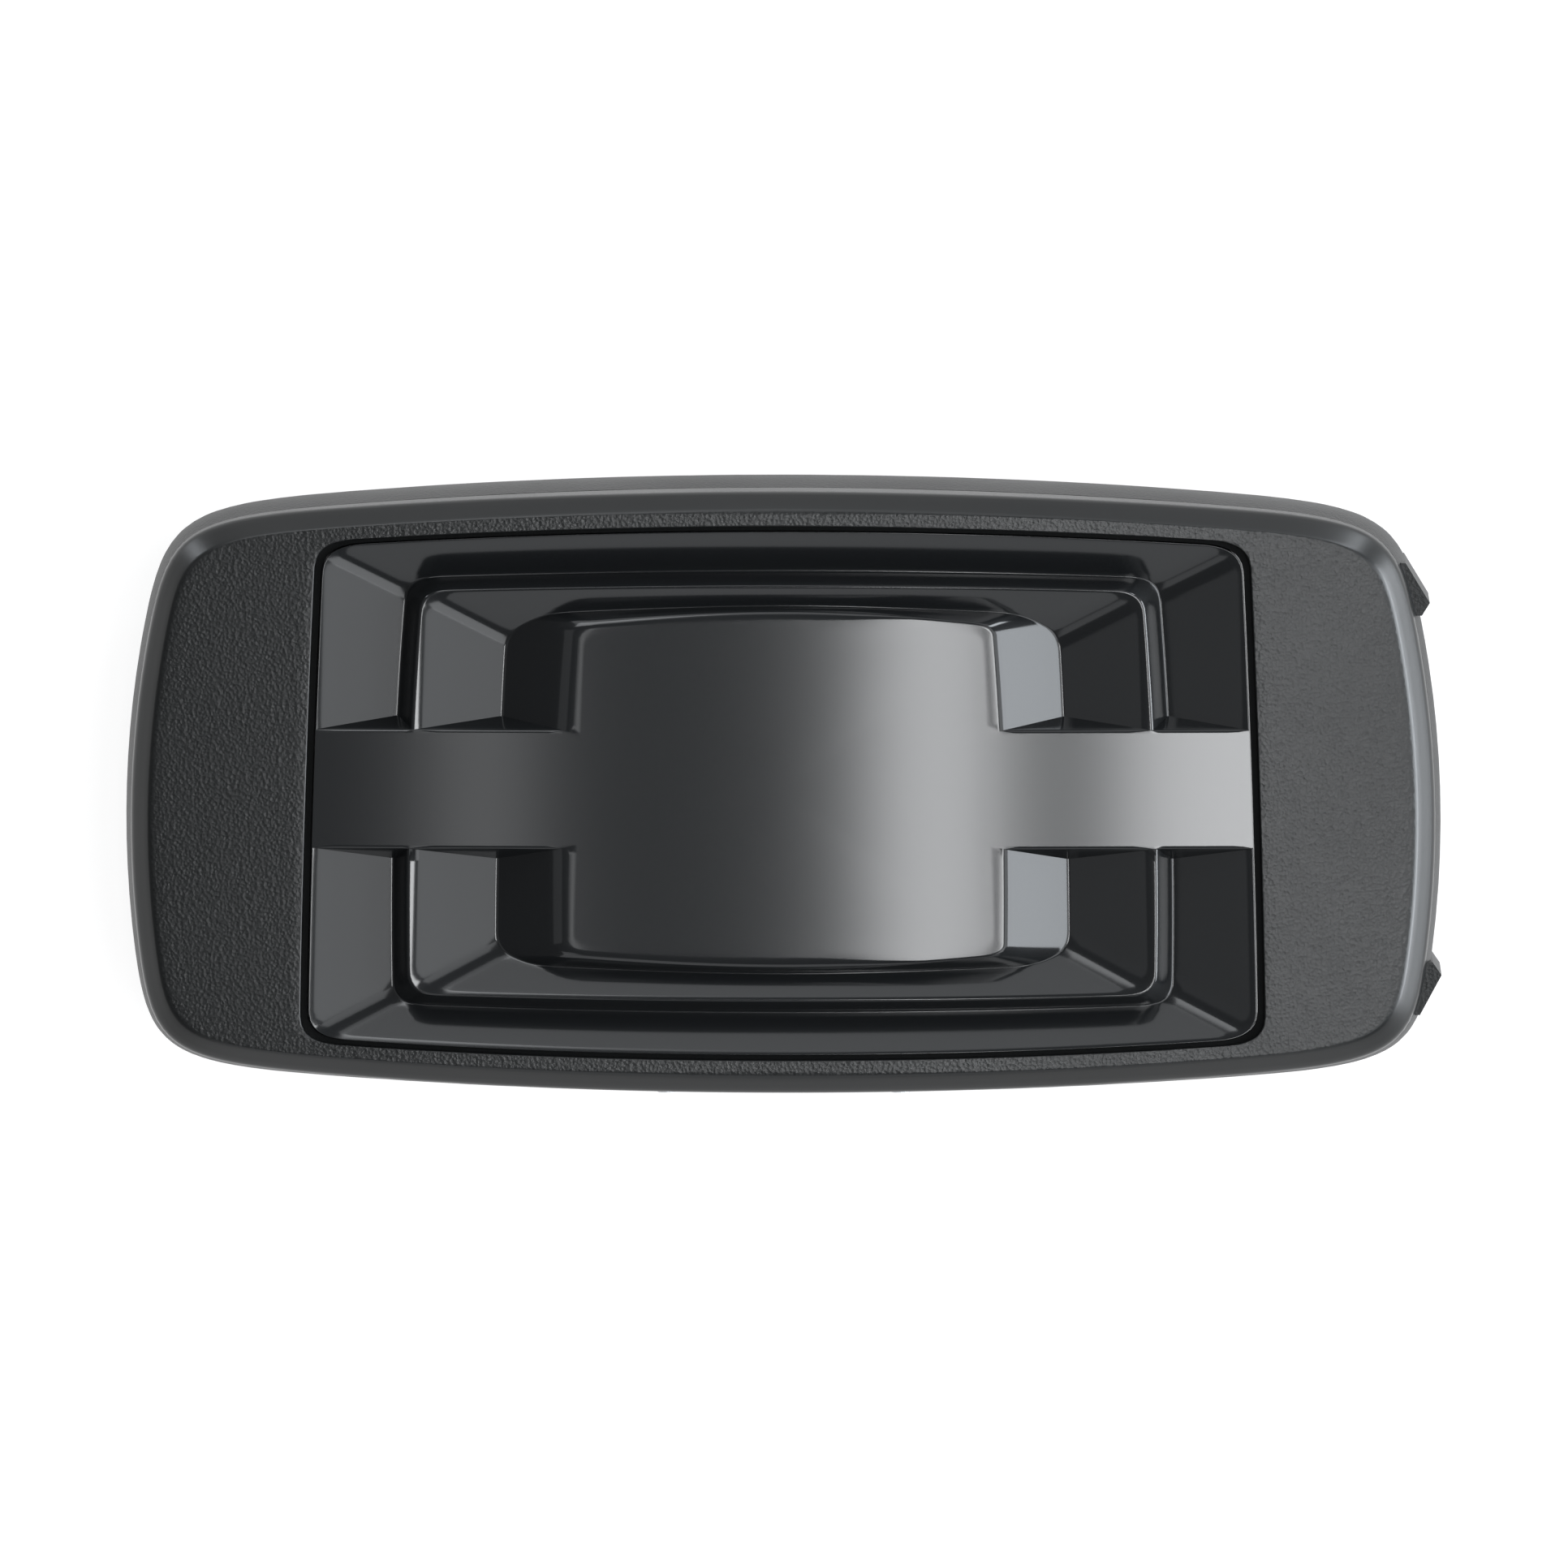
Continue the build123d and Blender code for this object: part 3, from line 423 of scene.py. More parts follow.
def profile(keys, counts, setbacks, surfaces):
    """Rows of points from key to key, rounded at the keys between, each row as long as a key."""
    rows = []
    starts = []
    ends = []
    for index, count in enumerate(counts):
        first, last = keys[index], keys[index + 1]
        length = np.maximum(np.linalg.norm(last - first, axis=1), TINY)
        low = np.minimum(setbacks[index] / length, LARGEST_SETBACK)
        high = 1 - np.minimum(setbacks[index + 1] / length, LARGEST_SETBACK)
        part = []
        for step in np.linspace(0, 1, count + 1):
            share = (low + (high - low) * step)[:, None]
            points = first + (last - first) * share
            if surfaces[index] is not None:
                points = surfaces[index](points, share[:, 0])
            part.append(points)
        rows.append(part)
        starts.append(part[0])
        ends.append(part[-1])
    out = []
    for index, part in enumerate(rows):
        out += part
        if index + 1 < len(rows):
            corner = keys[index + 1]
            out += rounded(ends[index], corner, starts[index + 1])
    return np.array(out)


def insert_quarter(end, side, sink, edge_round):
    """A quarter of the insert's upper surface, from its lower edge to the pad: rows of points, and
    the number of the first row on the top."""
    before, after = INSERT_COLUMNS
    shift = side * PAD_SHIFT
    band_edge = BAND_HALF + shift

    def band_y(x, z):
        return band_edge + BAND_DRAFT * np.maximum(bow_height(x, band_edge, side) - sink - z, 0)

    outer = frame_quarter(GAP_X, GAP_Y)
    middle = crossing(outer_step(outer[:, 0], outer[:, 1], side, sink)[1])
    edge_xy = spaced(outer, band_edge, middle, before, after)
    edge = joined(edge_xy, outer_step(edge_xy[:, 0], edge_xy[:, 1], side, sink)[0])

    def island_ring(level_guess, heights):
        level = np.full(before + after + 1, level_guess)
        curve = island_quarter((FACE_Z - level_guess) * RISER_DRAFT)
        place = crossing(heights(curve[:, 0], curve[:, 1], side, sink)[1])
        for _ in range(RING_PASSES):
            rings = []
            for index, height in enumerate(level):
                curve = island_quarter((FACE_Z - height) * RISER_DRAFT)
                start = band_y(curve[0, 0], level[0])
                rings.append(spaced(curve, start, place, before, after)[index])
            xy = np.array(rings)
            level = heights(xy[:, 0], xy[:, 1], side, sink)[0]
        return joined(xy, level)

    riser_foot = island_ring(RISER_FOOT_Z, outer_step)
    riser_top = island_ring(RISER_TOP_Z, inner_step)

    pad_z = FACE_Z - sink - bow_drop(PAD_X)
    drops = np.linspace(*BLOCK_DROPS, BLOCK_LEVELS)
    foot_curve = block_quarter(BLOCK_FOOT_DROP)
    place = crossing(
        inner_step(foot_curve[:, 0], foot_curve[:, 1] + shift, side, sink)[1]
    )
    levels = []
    for drop in drops:
        curve = block_quarter(drop)
        start = band_y(curve[0, 0], pad_z - drop) - shift
        levels.append(spaced(curve, start, place, before, after) + (0, shift))
    levels = np.array(levels)

    def block_wall(drop):
        # The clip stays just under the last level, so that there is always a next one
        index = np.clip((drop - drops[0]) / (drops[1] - drops[0]), 0, len(drops) - 1.001)
        low = index.astype(int)
        part = (index - low)[:, None]
        which = np.arange(levels.shape[1])
        xy = levels[low, which] * (1 - part) + levels[low + 1, which] * part
        return joined(xy, pad_z - drop)

    def solve(surface):
        low = np.full(levels.shape[1], drops[0])
        high = np.full(levels.shape[1], drops[-1])
        for _ in range(HALVINGS):
            drop = (low + high) / 2
            points = block_wall(drop)
            above = points[:, 2] > surface(points[:, 0], points[:, 1])
            low = np.where(above, drop, low)
            high = np.where(above, high, drop)
        return (low + high) / 2

    foot_drop = solve(lambda x, y: inner_step(x, y, side, sink)[0])
    top_drop = solve(lambda x, y: bow_height(x, y, side) - sink)
    block_foot = block_wall(foot_drop)
    pad_edge = block_wall(top_drop)
    centre = np.array([0.0, shift])
    inward = centre - pad_edge[:, :2]
    inward /= np.linalg.norm(inward, axis=1)[:, None]
    pad_xy = pad_edge[:, :2] + inward * 2 * PAD_ROUND
    crisp = np.clip(end * pad_edge[:, 0] / ROUND_FADE, 0, 1)
    pad_round = PAD_ROUND + (PAD_ROUND_RIGHT - PAD_ROUND) * crisp
    pad_in = joined(pad_xy, bow_height(pad_xy[:, 0], pad_xy[:, 1], side) - sink)

    bottom = edge.copy()
    bottom[:, 2] = bow_height(edge[:, 0], edge[:, 1], side) - SKIRT_DEPTH
    reach = np.clip(edge[:, 0] - FLANGE_START, 0, 1) * FLANGE_REACH
    low, high = FLANGE_DEPTHS
    flange = []
    for depth, out in ((low, 0), (low, 1), (high, 1), (high, 0)):
        ring = edge.copy()
        ring[:, 0] += reach * out
        ring[:, 2] = bow_height(edge[:, 0], edge[:, 1], side) - depth
        flange.append(ring)

    def on_outer(points, share):
        points[:, 2] = outer_step(points[:, 0], points[:, 1], side, sink)[0]
        return points

    def on_inner(points, share):
        points[:, 2] = inner_step(points[:, 0], points[:, 1], side, sink)[0]
        return points

    def on_block(points, share):
        return block_wall(foot_drop + (top_drop - foot_drop) * share)

    def on_pad(points, share):
        points[:, 2] = bow_height(points[:, 0], points[:, 1], side) - sink
        return points

    # The section's key points, rows between them, roundings at them, surface followed
    keys = [bottom, *flange, edge, riser_foot, riser_top, block_foot, pad_edge, pad_in]
    counts = [1, 1, 1, 1, 2, 8, 3, 8, 16, 2]
    r = edge_round
    backs = [0, 0, 0, 0, 0, 0.4 * r, 0.8 * r, r, 0.7 * r, pad_round, 0]
    surfaces = [None, None, None, None, None, on_outer, None, on_inner, on_block, on_pad]
    rows = profile(keys, counts, backs, surfaces)
    spans = 5
    first_top = sum(counts[:spans]) + spans + len(ROUNDING) * (spans - 1)
    return rows, first_top


def placed(rows, end, side):
    """Quarter points put in their own quarter, with the lean of the casing's ends."""
    out = rows.copy()
    out[..., 1] = side * rows[..., 1]
    out[..., 0] = end * leaned(rows[..., 0], out[..., 1])
    return out


def band_wall(rows, first_top, side, sink, edge_round):
    """From a quarter's first column up the band's side wall and a little way onto the band."""
    base = rows[:, 0]
    band_edge = BAND_HALF + side * PAD_SHIFT
    top = base.copy()
    raised = np.arange(len(base)) >= first_top
    top[:, 1] = np.where(raised, np.minimum(base[:, 1], band_edge), base[:, 1])
    level = bow_height(base[:, 0], top[:, 1], side) - sink
    top[:, 2] = np.where(raised, np.maximum(level, base[:, 2]), base[:, 2])
    height = top[:, 2] - base[:, 2]
    back = np.minimum(edge_round, BAND_ROUND_SHARE * height + BAND_ROUND_LEAST)
    inner = top.copy()
    inner[:, 1] = top[:, 1] - BAND_LIP
    start = base + (top - base) * (1 - back / np.maximum(height, back + TINY))[:, None]
    stop = top.copy()
    stop[:, 1] -= back
    columns = [base + (start - base) * share for share in (1 / 3, 2 / 3, 1)]
    columns += [*rounded(start, top, stop), stop, inner]
    return np.stack(columns, axis=1)


def grid_mesh(name, loops, close_ends):
    """A mesh through closed loops of points, in millimetres, its two ends filled or joined together.
    """
    rows, count = loops.shape[:2]
    # Rounded to a nanometre, so that the last digits, which vary from run to run, don't matter
    points = np.round(loops.reshape(-1, 3), POINT_DECIMALS)
    bm = bmesh.new()
    verts = [bm.verts.new(Vector(point) * MM) for point in points]
    for row in range(rows - 1):
        for index in range(count):
            step = (index + 1) % count
            corners = [
                verts[row * count + index],
                verts[row * count + step],
                verts[(row + 1) * count + step],
                verts[(row + 1) * count + index],
            ]
            bm.faces.new(corners)
    if close_ends:
        bm.faces.new(verts[:count])
        bm.faces.new(verts[-count:][::-1])
    else:
        for index in range(count):
            step = (index + 1) % count
            last = (rows - 1) * count
            bm.faces.new([verts[last + index], verts[last + step], verts[step], verts[index]])
    bmesh.ops.remove_doubles(bm, verts=bm.verts[:], dist=MERGE_DISTANCE)
    bmesh.ops.dissolve_degenerate(bm, edges=bm.edges[:], dist=SHORTEST_EDGE)
    bmesh.ops.recalc_face_normals(bm, faces=bm.faces[:])
    for face in bm.faces:
        face.smooth = True
    for edge in bm.edges:
        edge.smooth = len(edge.link_faces) == 2 and edge.calc_face_angle(0) < SHARP_ANGLE
    mesh = bpy.data.meshes.new(name)
    bm.to_mesh(mesh)
    bm.free()
    piece = bpy.data.objects.new(name, mesh)
    bpy.context.scene.collection.objects.link(piece)
    return piece


def insert_loops(sink, edge_round):
    """Closed loops of the insert, from the underside's middle out and over to the pad's middle."""
    quarters = {}
    walls = {}
    for side in (1, -1):
        for end in (1, -1):
            rows, first_top = insert_quarter(end, side, sink, edge_round)
            wall = band_wall(rows, first_top, side, sink, edge_round)
            quarters[end, side] = placed(rows, end, side)
            walls[end, side] = placed(wall, end, side)

    def band_rows(end):
        upper = walls[end, 1][:, -1]
        lower = walls[end, -1][:, -1]
        shares = np.linspace(0, 1, BAND_COLUMNS + 2)[1:-1]
        return np.stack([upper + (lower - upper) * share for share in shares], axis=1)

    top = np.concatenate(
        [
            quarters[1, 1],
            quarters[-1, 1][:, -2::-1],
            walls[-1, 1],
            band_rows(-1),
            walls[-1, -1][:, ::-1],
            quarters[-1, -1],
            quarters[1, -1][:, -2::-1],
            walls[1, -1],
            band_rows(1)[:, ::-1],
            walls[1, 1][:, ::-1],
        ],
        axis=1,
    )
    middle = np.array([0.0, PAD_SHIFT])
    pad = []
    last = top[-1]
    for share in PAD_RINGS:
        xy = middle + (last[:, :2] - middle) * share
        pad.append(joined(xy, bow_height(np.abs(xy[:, 0]), 0, 1) - sink))
    top = np.concatenate([top, np.array(pad)])
    below = top[first_top + len(ROUNDING) + 1 :].copy()
    below[..., 2] -= INSERT_WALL
    inner_bottom = below[0].copy()
    inner_bottom[:, 2] = top[0][:, 2]
    return np.concatenate([below[::-1], inner_bottom[None], top])


def housing_loops(bevel, bevel_round):
    """Closed loops of the front housing's section, once round."""
    before, after = HOUSING_COLUMNS
    quarters = {}
    for side in (1, -1):

        def ring(curve, height):
            xy = spaced(curve, 0, len(curve) / 2, before, after)
            return joined(xy, height(xy))

        def face(depth):
            return lambda xy: bow_height(xy[:, 0], xy[:, 1], side) - depth

        def level(height):
            return lambda xy: np.full(len(xy), height)

        # The section's key points, then rows between them, roundings at them, surface followed
        flare = SIDE_FLARE
        keys = [
            ring(casing_quarter(flare + WALL), level(FRONT_Z)),
            ring(casing_quarter(flare), level(FRONT_Z)),
            ring(casing_quarter(flare + BEVEL_FOOT), face(bevel)),
            ring(casing_quarter(flare + BEVEL_HEAD + bevel), face(0)),
            ring(frame_quarter(0, 0), face(0)),
            ring(frame_quarter(0, 0), face(LEDGE_DEPTH)),
            ring(frame_quarter(LEDGE_X, LEDGE_Y), face(LEDGE_DEPTH)),
            ring(frame_quarter(LEDGE_X, LEDGE_Y), face(WALL)),
            ring(casing_quarter(flare + WALL + WALL_TURN), face(WALL)),
        ]
        r = bevel_round

        def on_face(points, share):
            points[:, 2] = bow_height(points[:, 0], points[:, 1], side)
            return points

        rows = profile(
            keys,
            [1, 3, 3, 14, 2, 1, 1, 2],
            [0, FOOT_ROUND, r, r, OPENING_ROUND, LEDGE_ROUND, LEDGE_ROUND / 2, LEDGE_ROUND, 0],
            [None, None, None, on_face, None, None, None, None],
        )
        for end in (1, -1):
            quarters[end, side] = placed(rows, end, side)
    return np.concatenate(
        [
            quarters[1, 1],
            quarters[-1, 1][:, -2::-1],
            quarters[-1, -1][:, 1:],
            quarters[1, -1][:, -2:0:-1],
        ],
        axis=1,
    )


# Finishes

# Range of a noise's values, share of the grain's height, scale of the patches in its gloss
NOISE_LOW = 0.3
NOISE_HIGH = 0.7
HEIGHT_SHARE = 0.6
PATCH_SIZE = 55.0

# A Mix node's colour sockets, which share their names with its other sockets
MIX_FACTOR = 0
MIX_DARK = 6
MIX_LIGHT = 7
MIX_RESULT = 2

# The texture that both housings share
HOUSING_TEXTURE = {
    "grain_size": 2700,
    "grain_depth": 0.55,
    "tone": 0.3,
    "spread": 0.04,
    "grain_height": 0.00011,
}

# How much of the face's colour is left in the gap round the insert, which is painted shade
GAP_PAINTED_SHADE_SHARE = 0.7

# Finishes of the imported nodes: name, colour, settings and the nodes that take it
REAR_FINISHES = (
    (
        "Foot rubber",
        (0.012, 0.012, 0.012),
        {"roughness": 0.8, "grain_size": 2500, "grain_depth": 0.3, "tone": 0.2},
        ("rubber_feet",),
    ),
)
PORT_FINISHES = (
    (
        "Port plastic",
        (0.012, 0.012, 0.013),
        {"roughness": 0.42, "grain_size": 5000, "grain_depth": 0.12, "tone": 0.15},
        ("network_jack_body", "power_jack_body", "reset_switch"),
    ),
    (
        "Tin plate",
        (0.42, 0.42, 0.41),
        {"roughness": 0.4, "grain_size": 1500, "grain_depth": 0.1, "tone": 0.06, "metallic": 1.0},
        ("network_jack_shield", "radio_shield", "crystal"),
    ),
    (
        "Gold plate",
        (0.83, 0.58, 0.22),
        {"roughness": 0.22, "grain_size": 1500, "grain_depth": 0.05, "tone": 0.05, "metallic": 1.0},
        ("network_jack_contacts", "antenna"),
    ),
    (
        "Nickel plate",
        (0.68, 0.66, 0.6),
        {"roughness": 0.18, "grain_size": 1500, "grain_depth": 0.04, "tone": 0.04, "metallic": 1.0},
        ("power_jack_pin", "power_jack_contact"),
    ),
    (
        "Button plastic",
        (0.09, 0.095, 0.1),
        {"roughness": 0.38, "grain_size": 5000, "grain_depth": 0.08, "tone": 0.1},
        ("reset_button",),
    ),
    (
        "Plunger plastic",
        (0.6, 0.6, 0.56),
        {"roughness": 0.4, "grain_size": 3000, "grain_depth": 0.05, "tone": 0.05},
        ("switch_plunger",),
    ),
)
BOARD_FINISHES = (
    (
        "Solder mask",
        (0.012, 0.12, 0.045),
        {"roughness": 0.3, "grain_size": 900, "grain_depth": 0.15, "tone": 0.3, "coat": 0.3},
        ("circuit_board",),
    ),
    (
        "Chip resin",
        (0.016, 0.016, 0.017),
        {"roughness": 0.5, "grain_size": 6000, "grain_depth": 0.2, "tone": 0.2},
        ("radio_chip", "processor", "memory_chip", "network_transformer", "voltage_regulator"),
    ),
    (
        "Capacitor can",
        (0.72, 0.73, 0.74),
        {"roughness": 0.3, "grain_size": 2200, "grain_depth": 0.1, "tone": 0.05, "metallic": 1.0},
        ("capacitors",),
    ),
    (
        "Ferrite",
        (0.06, 0.06, 0.062),
        {"roughness": 0.6, "grain_size": 4200, "grain_depth": 0.3, "tone": 0.25},
        ("power_inductor",),
    ),
    (
        "Fired ceramic",
        (0.35, 0.26, 0.16),
        {"roughness": 0.45, "grain_size": 5000, "grain_depth": 0.1, "tone": 0.3},
        ("small_components",),
    ),
    (
        "Zinc plate",
        (0.62, 0.63, 0.66),
        {"roughness": 0.28, "grain_size": 2600, "grain_depth": 0.12, "tone": 0.08, "metallic": 1.0},
        ("case_screws", "board_screws"),
    ),
    (
        "Lamp resin",
        (0.75, 0.74, 0.66),
        {"roughness": 0.2, "grain_size": 2000, "grain_depth": 0.02, "tone": 0.04},
        ("status_lamps",),
    ),
    (
        "Light pipe resin",
        (0.8, 0.83, 0.85),
        {"roughness": 0.15, "grain_size": 2500, "grain_depth": 0.05, "tone": 0.04, "coat": 0.4},
        ("light_pipe",),
    ),
)


def calculated(tree, operation, first, second):
    """A Math node's result for an output and a second output or a number."""
    node = tree.nodes.new("ShaderNodeMath")
    node.operation = operation
    tree.links.new(first, node.inputs[0])
    if isinstance(second, float):
        node.inputs[1].default_value = second
    else:
        tree.links.new(second, node.inputs[1])
    return node.outputs[0]


def moulded_grain():
    """Fine spark-eroded texture, as a height, a tone and a patchy mask."""
    name = "Moulded grain"
    if name in bpy.data.node_groups:
        return bpy.data.node_groups[name]
    group = bpy.data.node_groups.new(name, "ShaderNodeTree")
    size = group.interface.new_socket(name="Size", in_out="INPUT", socket_type="NodeSocketFloat")
    size.default_value = 4000.0
    for result in ("Height", "Tone", "Patches"):
        group.interface.new_socket(name=result, in_out="OUTPUT", socket_type="NodeSocketFloat")
    nodes, links = group.nodes, group.links
    given = nodes.new("NodeGroupInput")
    out = nodes.new("NodeGroupOutput")
    place = nodes.new("ShaderNodeTexCoord")
    grain = nodes.new("ShaderNodeTexNoise")
    grain.inputs["Detail"].default_value = 3.0
    grain.inputs["Roughness"].default_value = 0.65
    cells = nodes.new("ShaderNodeTexVoronoi")
    for texture in (grain, cells):
        links.new(place.outputs["Object"], texture.inputs["Vector"])
        links.new(given.outputs["Size"], texture.inputs["Scale"])
    both = calculated(group, "ADD", grain.outputs["Fac"], cells.outputs["Distance"])
    height = calculated(group, "MULTIPLY", both, HEIGHT_SHARE)
    links.new(height, out.inputs["Height"])
    tone = nodes.new("ShaderNodeMapRange")
    tone.inputs["From Min"].default_value = NOISE_LOW
    tone.inputs["From Max"].default_value = NOISE_HIGH
    links.new(grain.outputs["Fac"], tone.inputs["Value"])
    links.new(tone.outputs["Result"], out.inputs["Tone"])
    patches = nodes.new("ShaderNodeTexNoise")
    patches.inputs["Scale"].default_value = PATCH_SIZE
    patches.inputs["Detail"].default_value = 4.0
    links.new(place.outputs["Object"], patches.inputs["Vector"])
    links.new(patches.outputs["Fac"], out.inputs["Patches"])
    return group


def finish(
    name,
    colour,
    roughness,
    grain_size,
    grain_depth,
    tone,
    metallic=0.0,
    spread=0.06,
    specular=0.5,
    coat=0.0,
    coat_roughness=0.1,
    grain_height=0.00004,
):
    """A moulded, cast or plated surface with its own grain, tone and gloss."""
    material = bpy.data.materials.new(name)
    material.use_nodes = True
    nodes, links = material.node_tree.nodes, material.node_tree.links
    shader = nodes["Principled BSDF"]
    shader.inputs["Metallic"].default_value = metallic
    shader.inputs["Specular IOR Level"].default_value = specular
    shader.inputs["Coat Weight"].default_value = coat
    shader.inputs["Coat Roughness"].default_value = coat_roughness
    grain = nodes.new("ShaderNodeGroup")
    grain.node_tree = moulded_grain()
    grain.inputs["Size"].default_value = grain_size
    ramp = nodes.new("ShaderNodeMix")
    ramp.data_type = "RGBA"
    ramp.inputs[MIX_DARK].default_value = (*[c * (1 - tone) for c in colour], 1)
    ramp.inputs[MIX_LIGHT].default_value = (*[min(c * (1 + tone), 1) for c in colour], 1)
    links.new(grain.outputs["Tone"], ramp.inputs[MIX_FACTOR])
    links.new(ramp.outputs[MIX_RESULT], shader.inputs["Base Color"])
    gloss = nodes.new("ShaderNodeMapRange")
    gloss.inputs["From Min"].default_value = NOISE_LOW
    gloss.inputs["From Max"].default_value = NOISE_HIGH
    gloss.inputs["To Min"].default_value = roughness - spread / 2
    gloss.inputs["To Max"].default_value = roughness + spread / 2
    links.new(grain.outputs["Patches"], gloss.inputs["Value"])
    links.new(gloss.outputs["Result"], shader.inputs["Roughness"])
    bump = nodes.new("ShaderNodeBump")
    bump.inputs["Strength"].default_value = grain_depth
    bump.inputs["Distance"].default_value = grain_height
    links.new(grain.outputs["Height"], bump.inputs["Height"])
    links.new(bump.outputs["Normal"], shader.inputs["Normal"])
    return material


def dress(piece, material):
    """Gives a piece one material in place of what it had."""
    piece.data.materials.clear()
    piece.data.materials.append(material)
    for face in piece.data.polygons:
        face.material_index = 0


def dress_nodes(finishes):
    """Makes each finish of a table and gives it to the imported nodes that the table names."""
    for name, colour, settings, nodes in finishes:
        material = finish(name, colour, **settings)
        for node in nodes:
            dress(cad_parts[node], material)


class GATEWAY_OT_front_housing(bpy.types.Operator):
    """Builds the bowed front housing with its smooth bevel and the opening for the insert"""

    bl_idname = "gateway.front_housing"
    bl_label = "Front housing"

    def execute(self, context):
        shape = context.scene.gateway_shape
        loops = housing_loops(shape.bevel_width / MM, shape.bevel_round / MM)
        piece = grid_mesh("front_housing_shell", loops, False)
        colour = context.scene.gateway_finish.face_colour
        textured = finish(
            "Textured face plastic", colour, roughness=0.36, specular=0.38, **HOUSING_TEXTURE
        )
        smooth = finish(
            "Smooth bevel plastic",
            colour,
            roughness=0.31,
            grain_size=7000,
            grain_depth=0.03,
            tone=0.08,
            spread=0.03,
        )
        # The gap's plastic is the face's colour darkened, as painted shade in the recess round the
        # insert
        gap = finish(
            "Gap plastic with painted shade",
            [GAP_PAINTED_SHADE_SHARE * channel for channel in colour],
            roughness=0.8,
            grain_size=5200,
            grain_depth=0.2,
            tone=0.2,
            specular=0.1,
        )
        dress(piece, textured)
        piece.data.materials.append(smooth)
        piece.data.materials.append(gap)
        # Faces sunk into the opening take the painted shade, and the bevel's slopes take the smooth
        # finish
        for face in piece.data.polygons:
            x, y, z = face.center / MM
            long_side = OPENING_Y - x**2 / (2 * OPENING_LONG_RADIUS) + OPENING_MARGIN_Y
            inside = abs(x) < OPENING_X + OPENING_MARGIN_X and abs(y) < long_side
            if inside and z < bow_height(x, y, 1) - PAINTED_SHADE_DEPTH:
                face.material_index = PAINTED_SHADE_INDEX
            elif BEVEL_STEEPEST < face.normal.z < BEVEL_FLATTEST:
                face.material_index = SMOOTH_INDEX
        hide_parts("front_housing")
        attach(piece, "gateway")
        return {"FINISHED"}


class GATEWAY_OT_face_insert(bpy.types.Operator):
    """Builds the stepped, mitred insert with its band and its centre block"""

    bl_idname = "gateway.face_insert"
    bl_label = "Face insert"

    def execute(self, context):
        shape = context.scene.gateway_shape
        loops = insert_loops(shape.insert_sink / MM, shape.edge_round / MM)
        piece = grid_mesh("face_insert_shell", loops, True)
        colour = context.scene.gateway_finish.insert_colour
        satin = finish(
            "Satin insert plastic",
            colour,
            roughness=0.46,
            grain_size=6500,
            grain_depth=0.06,
            tone=0.16,
            spread=0.04,
            specular=0.06,
            coat=1.0,
            coat_roughness=0.12,
        )
        dress(piece, satin)
        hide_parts("face_insert")
        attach(piece, "gateway")
        return {"FINISHED"}


class GATEWAY_OT_rear_housing(bpy.types.Operator):
    """Finishes the rear housing and its feet"""

    bl_idname = "gateway.rear_housing"
    bl_label = "Rear housing and feet"

    def execute(self, context):
        colour = context.scene.gateway_finish.rear_colour
        textured = finish(
            "Textured rear plastic", colour, roughness=0.46, specular=0.3, **HOUSING_TEXTURE
        )
        dress(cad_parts["rear_housing"], textured)
        dress_nodes(REAR_FINISHES)
        return {"FINISHED"}


class GATEWAY_OT_ports(bpy.types.Operator):
    """Finishes the network jack, the power jack and the reset button"""

    bl_idname = "gateway.ports"
    bl_label = "Ports and reset button"

    def execute(self, context):
        dress_nodes(PORT_FINISHES)
        return {"FINISHED"}


class GATEWAY_OT_board(bpy.types.Operator):
    """Finishes the circuit board, its parts, the lamps and the screws"""

    bl_idname = "gateway.board"
    bl_label = "Board and screws"

    def execute(self, context):
        dress_nodes(BOARD_FINISHES)
        return {"FINISHED"}


# Stage, in metres

FLOOR_REACH = 14.0
FLOOR_Z = -0.00005
FLOOR_COLOUR = (0.22, 0.22, 0.22, 1)
FLOOR_GLOW = 0.88
WORLD_COLOUR = (0.12, 0.12, 0.123, 1)
TARGET_Z = 0.0146
FARTHEST_VIEW = 50.0
WHITE = (0.97, 0.985, 1.0)
COOL = (0.95, 0.975, 1.0)
COLD = (0.9, 0.95, 1.0)


def along(right, up=0.0):
    """The direction that leans from the upright by two angles, in degrees."""
    return Matrix.Rotation(math.radians(-up), 3, "X") @ (
        Matrix.Rotation(math.radians(right), 3, "Y") @ Vector((0, 0, 1))
    )


# Lamps: name, direction, distance, width, height, radiance and colour
LAMPS = (
    ("Overhead strip", along(2.85), 2.0, 0.1, 0.9, 14.5, WHITE),
    ("Overhead box", along(11.5), 2.0, 0.3, 0.9, 13.0, WHITE),
    ("Left strip", along(-7.9), 2.0, 0.075, 0.9, 3.2, WHITE),
    ("Right fill", along(36.0), 1.8, 0.8, 1.2, 2.0, COOL),
    ("Side box", along(62.0, 6.0), 1.5, 0.6, 1.0, 7.5, COLD),
    ("Low side box", along(82.0, 14.0), 1.5, 0.3, 1.4, 20.0, COLD),
    ("Upper fill", along(0.0, 68.0), 1.8, 1.6, 0.9, 1.2, COOL),
    ("Lower fill", along(0.0, -68.0), 1.8, 1.6, 0.9, 0.9, COOL),
    ("Left fill", along(-38.0, 8.0), 1.8, 0.7, 1.0, 0.35, COOL),
    ("Upper right corner", along(23.0, 29.0), 1.8, 0.55, 0.6, 1.7, COOL),
    ("Lower right corner", along(24.0, -31.0), 1.8, 0.6, 0.7, 2.9, COOL),
    ("Upper left corner", along(-14.0, 50.0), 1.8, 0.5, 0.8, 3.8, COOL),
    ("Right rim strip", Vector((0.57, 0.82, 0.075)), 1.5, 1.3, 0.2, 11.0, COLD),
    ("Left rim strip", Vector((-0.74, 0.65, 0.075)), 1.5, 0.26, 0.2, 14.0, COLD),
    ("Lower left corner", along(-18.0, -47.0), 1.8, 0.5, 0.5, 0.9, COOL),
)


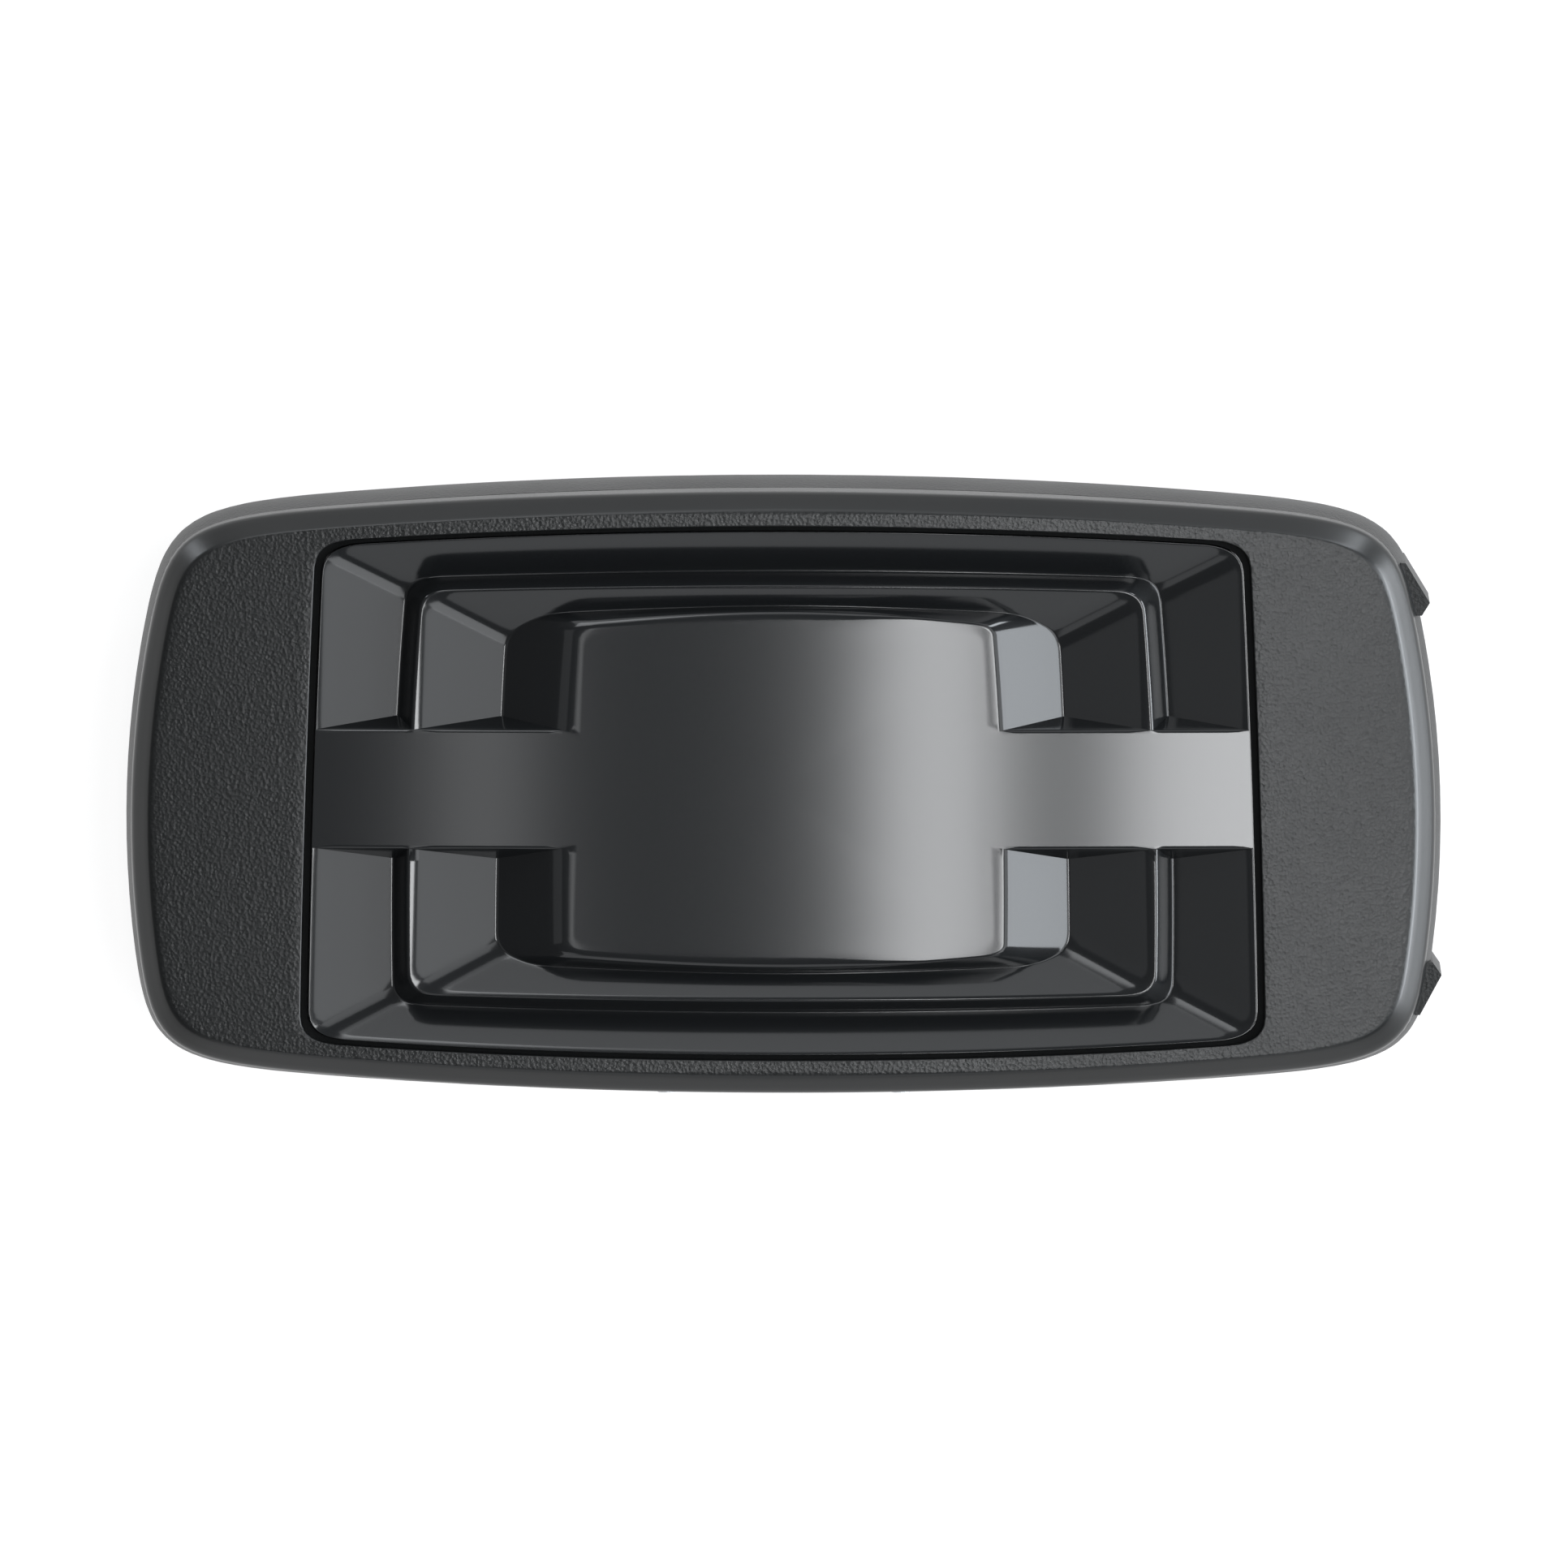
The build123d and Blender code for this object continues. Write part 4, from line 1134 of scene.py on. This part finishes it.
def facing(up):
    """A turn that points an object's Z axis along a direction and keeps its X axis level."""
    right = Vector((0, 1, 0)).cross(up).normalized()
    above = up.cross(right)
    return Matrix((right, above, up)).transposed().to_quaternion()


def lamp(name, direction, distance, width, height, radiance, colour):
    """A soft box that faces the object, seen only through what it lights."""
    data = bpy.data.lights.new(name, "AREA")
    data.shape = "RECTANGLE"
    data.size = width
    data.size_y = height
    data.energy = radiance * math.pi * width * height
    data.color = colour
    made = bpy.data.objects.new(name, data)
    towards = direction.normalized()
    made.location = towards * distance
    made.rotation_mode = "QUATERNION"
    made.rotation_quaternion = facing(towards)
    made.visible_camera = False
    bpy.context.scene.collection.objects.link(made)


def floor_material():
    """White paper that keeps shadows, and shows white to the camera and to glossy surfaces."""
    material = bpy.data.materials.new("Paper floor")
    material.use_nodes = True
    tree = material.node_tree
    shader = tree.nodes["Principled BSDF"]
    shader.inputs["Roughness"].default_value = 0.9
    shader.inputs["Specular IOR Level"].default_value = 0.1
    shader.inputs["Base Color"].default_value = FLOOR_COLOUR
    shader.inputs["Emission Color"].default_value = (1, 1, 1, 1)
    rays = tree.nodes.new("ShaderNodeLightPath").outputs
    glossy = calculated(tree, "MAXIMUM", rays["Is Glossy Ray"], rays["Is Transmission Ray"])
    seen = calculated(tree, "MAXIMUM", rays["Is Camera Ray"], glossy)
    glow = calculated(tree, "MULTIPLY", seen, FLOOR_GLOW)
    tree.links.new(glow, shader.inputs["Emission Strength"])
    return material


class GATEWAY_OT_stage(bpy.types.Operator):
    """Sets the floor, the lamps, the world and the camera at the photograph's angle"""

    bl_idname = "gateway.stage"
    bl_label = "Floor, lamps and camera"

    def execute(self, context):
        scene = context.scene
        stage = scene.gateway_stage
        scene.view_settings.view_transform = "Standard"
        mesh = bpy.data.meshes.new("floor")
        corners = ((-1, -1), (1, -1), (1, 1), (-1, 1))
        mesh.from_pydata(
            [(x * FLOOR_REACH, y * FLOOR_REACH, FLOOR_Z) for x, y in corners], [], [(0, 1, 2, 3)]
        )
        floor = bpy.data.objects.new("floor", mesh)
        scene.collection.objects.link(floor)
        floor.data.materials.append(floor_material())

        world = bpy.data.worlds.new("Studio")
        scene.world = world
        world.use_nodes = True
        world.node_tree.nodes["Background"].inputs["Color"].default_value = WORLD_COLOUR

        for settings in LAMPS:
            lamp(*settings)

        data = bpy.data.cameras.new("camera")
        data.lens = stage.lens / MM
        data.sensor_width = 36.0
        data.clip_end = FARTHEST_VIEW
        distance = stage.view_width * data.lens / data.sensor_width
        camera = bpy.data.objects.new("camera", data)
        up = Vector((math.tan(stage.turn), math.tan(stage.tilt), 1)).normalized()
        target = Vector((0.0, 0.0, TARGET_Z))
        camera.location = target + up * distance
        camera.rotation_mode = "QUATERNION"
        camera.rotation_quaternion = facing(up)
        scene.collection.objects.link(camera)
        scene.camera = camera
        return {"FINISHED"}


class GATEWAY_PT_panel(bpy.types.Panel):
    """Lists the gateway's builders and settings"""

    bl_idname = "GATEWAY_PT_panel"
    bl_label = "Network gateway"
    bl_space_type = "VIEW_3D"
    bl_region_type = "UI"
    bl_category = "Gateway"

    def draw(self, context):
        layout = self.layout
        for settings in ("gateway_shape", "gateway_finish", "gateway_stage"):
            group = getattr(context.scene, settings)
            for name in group.__annotations__:
                layout.prop(group, name)
        for operator in OPERATORS:
            layout.operator(operator.bl_idname)


OPERATORS = (
    GATEWAY_OT_stage,
    GATEWAY_OT_front_housing,
    GATEWAY_OT_face_insert,
    GATEWAY_OT_rear_housing,
    GATEWAY_OT_ports,
    GATEWAY_OT_board,
)
CLASSES = (GatewayShape, GatewayFinish, GatewayStage, *OPERATORS, GATEWAY_PT_panel)


def register():
    for cls in CLASSES:
        bpy.utils.register_class(cls)
    bpy.types.Scene.gateway_shape = bpy.props.PointerProperty(type=GatewayShape)
    bpy.types.Scene.gateway_finish = bpy.props.PointerProperty(type=GatewayFinish)
    bpy.types.Scene.gateway_stage = bpy.props.PointerProperty(type=GatewayStage)


def unregister():
    del bpy.types.Scene.gateway_stage
    del bpy.types.Scene.gateway_finish
    del bpy.types.Scene.gateway_shape
    for cls in reversed(CLASSES):
        bpy.utils.unregister_class(cls)


def main():
    register()
    bpy.ops.gateway.stage()
    bpy.ops.gateway.front_housing()
    bpy.ops.gateway.face_insert()
    bpy.ops.gateway.rear_housing()
    bpy.ops.gateway.ports()
    bpy.ops.gateway.board()


if __name__ == "__main__":
    main()
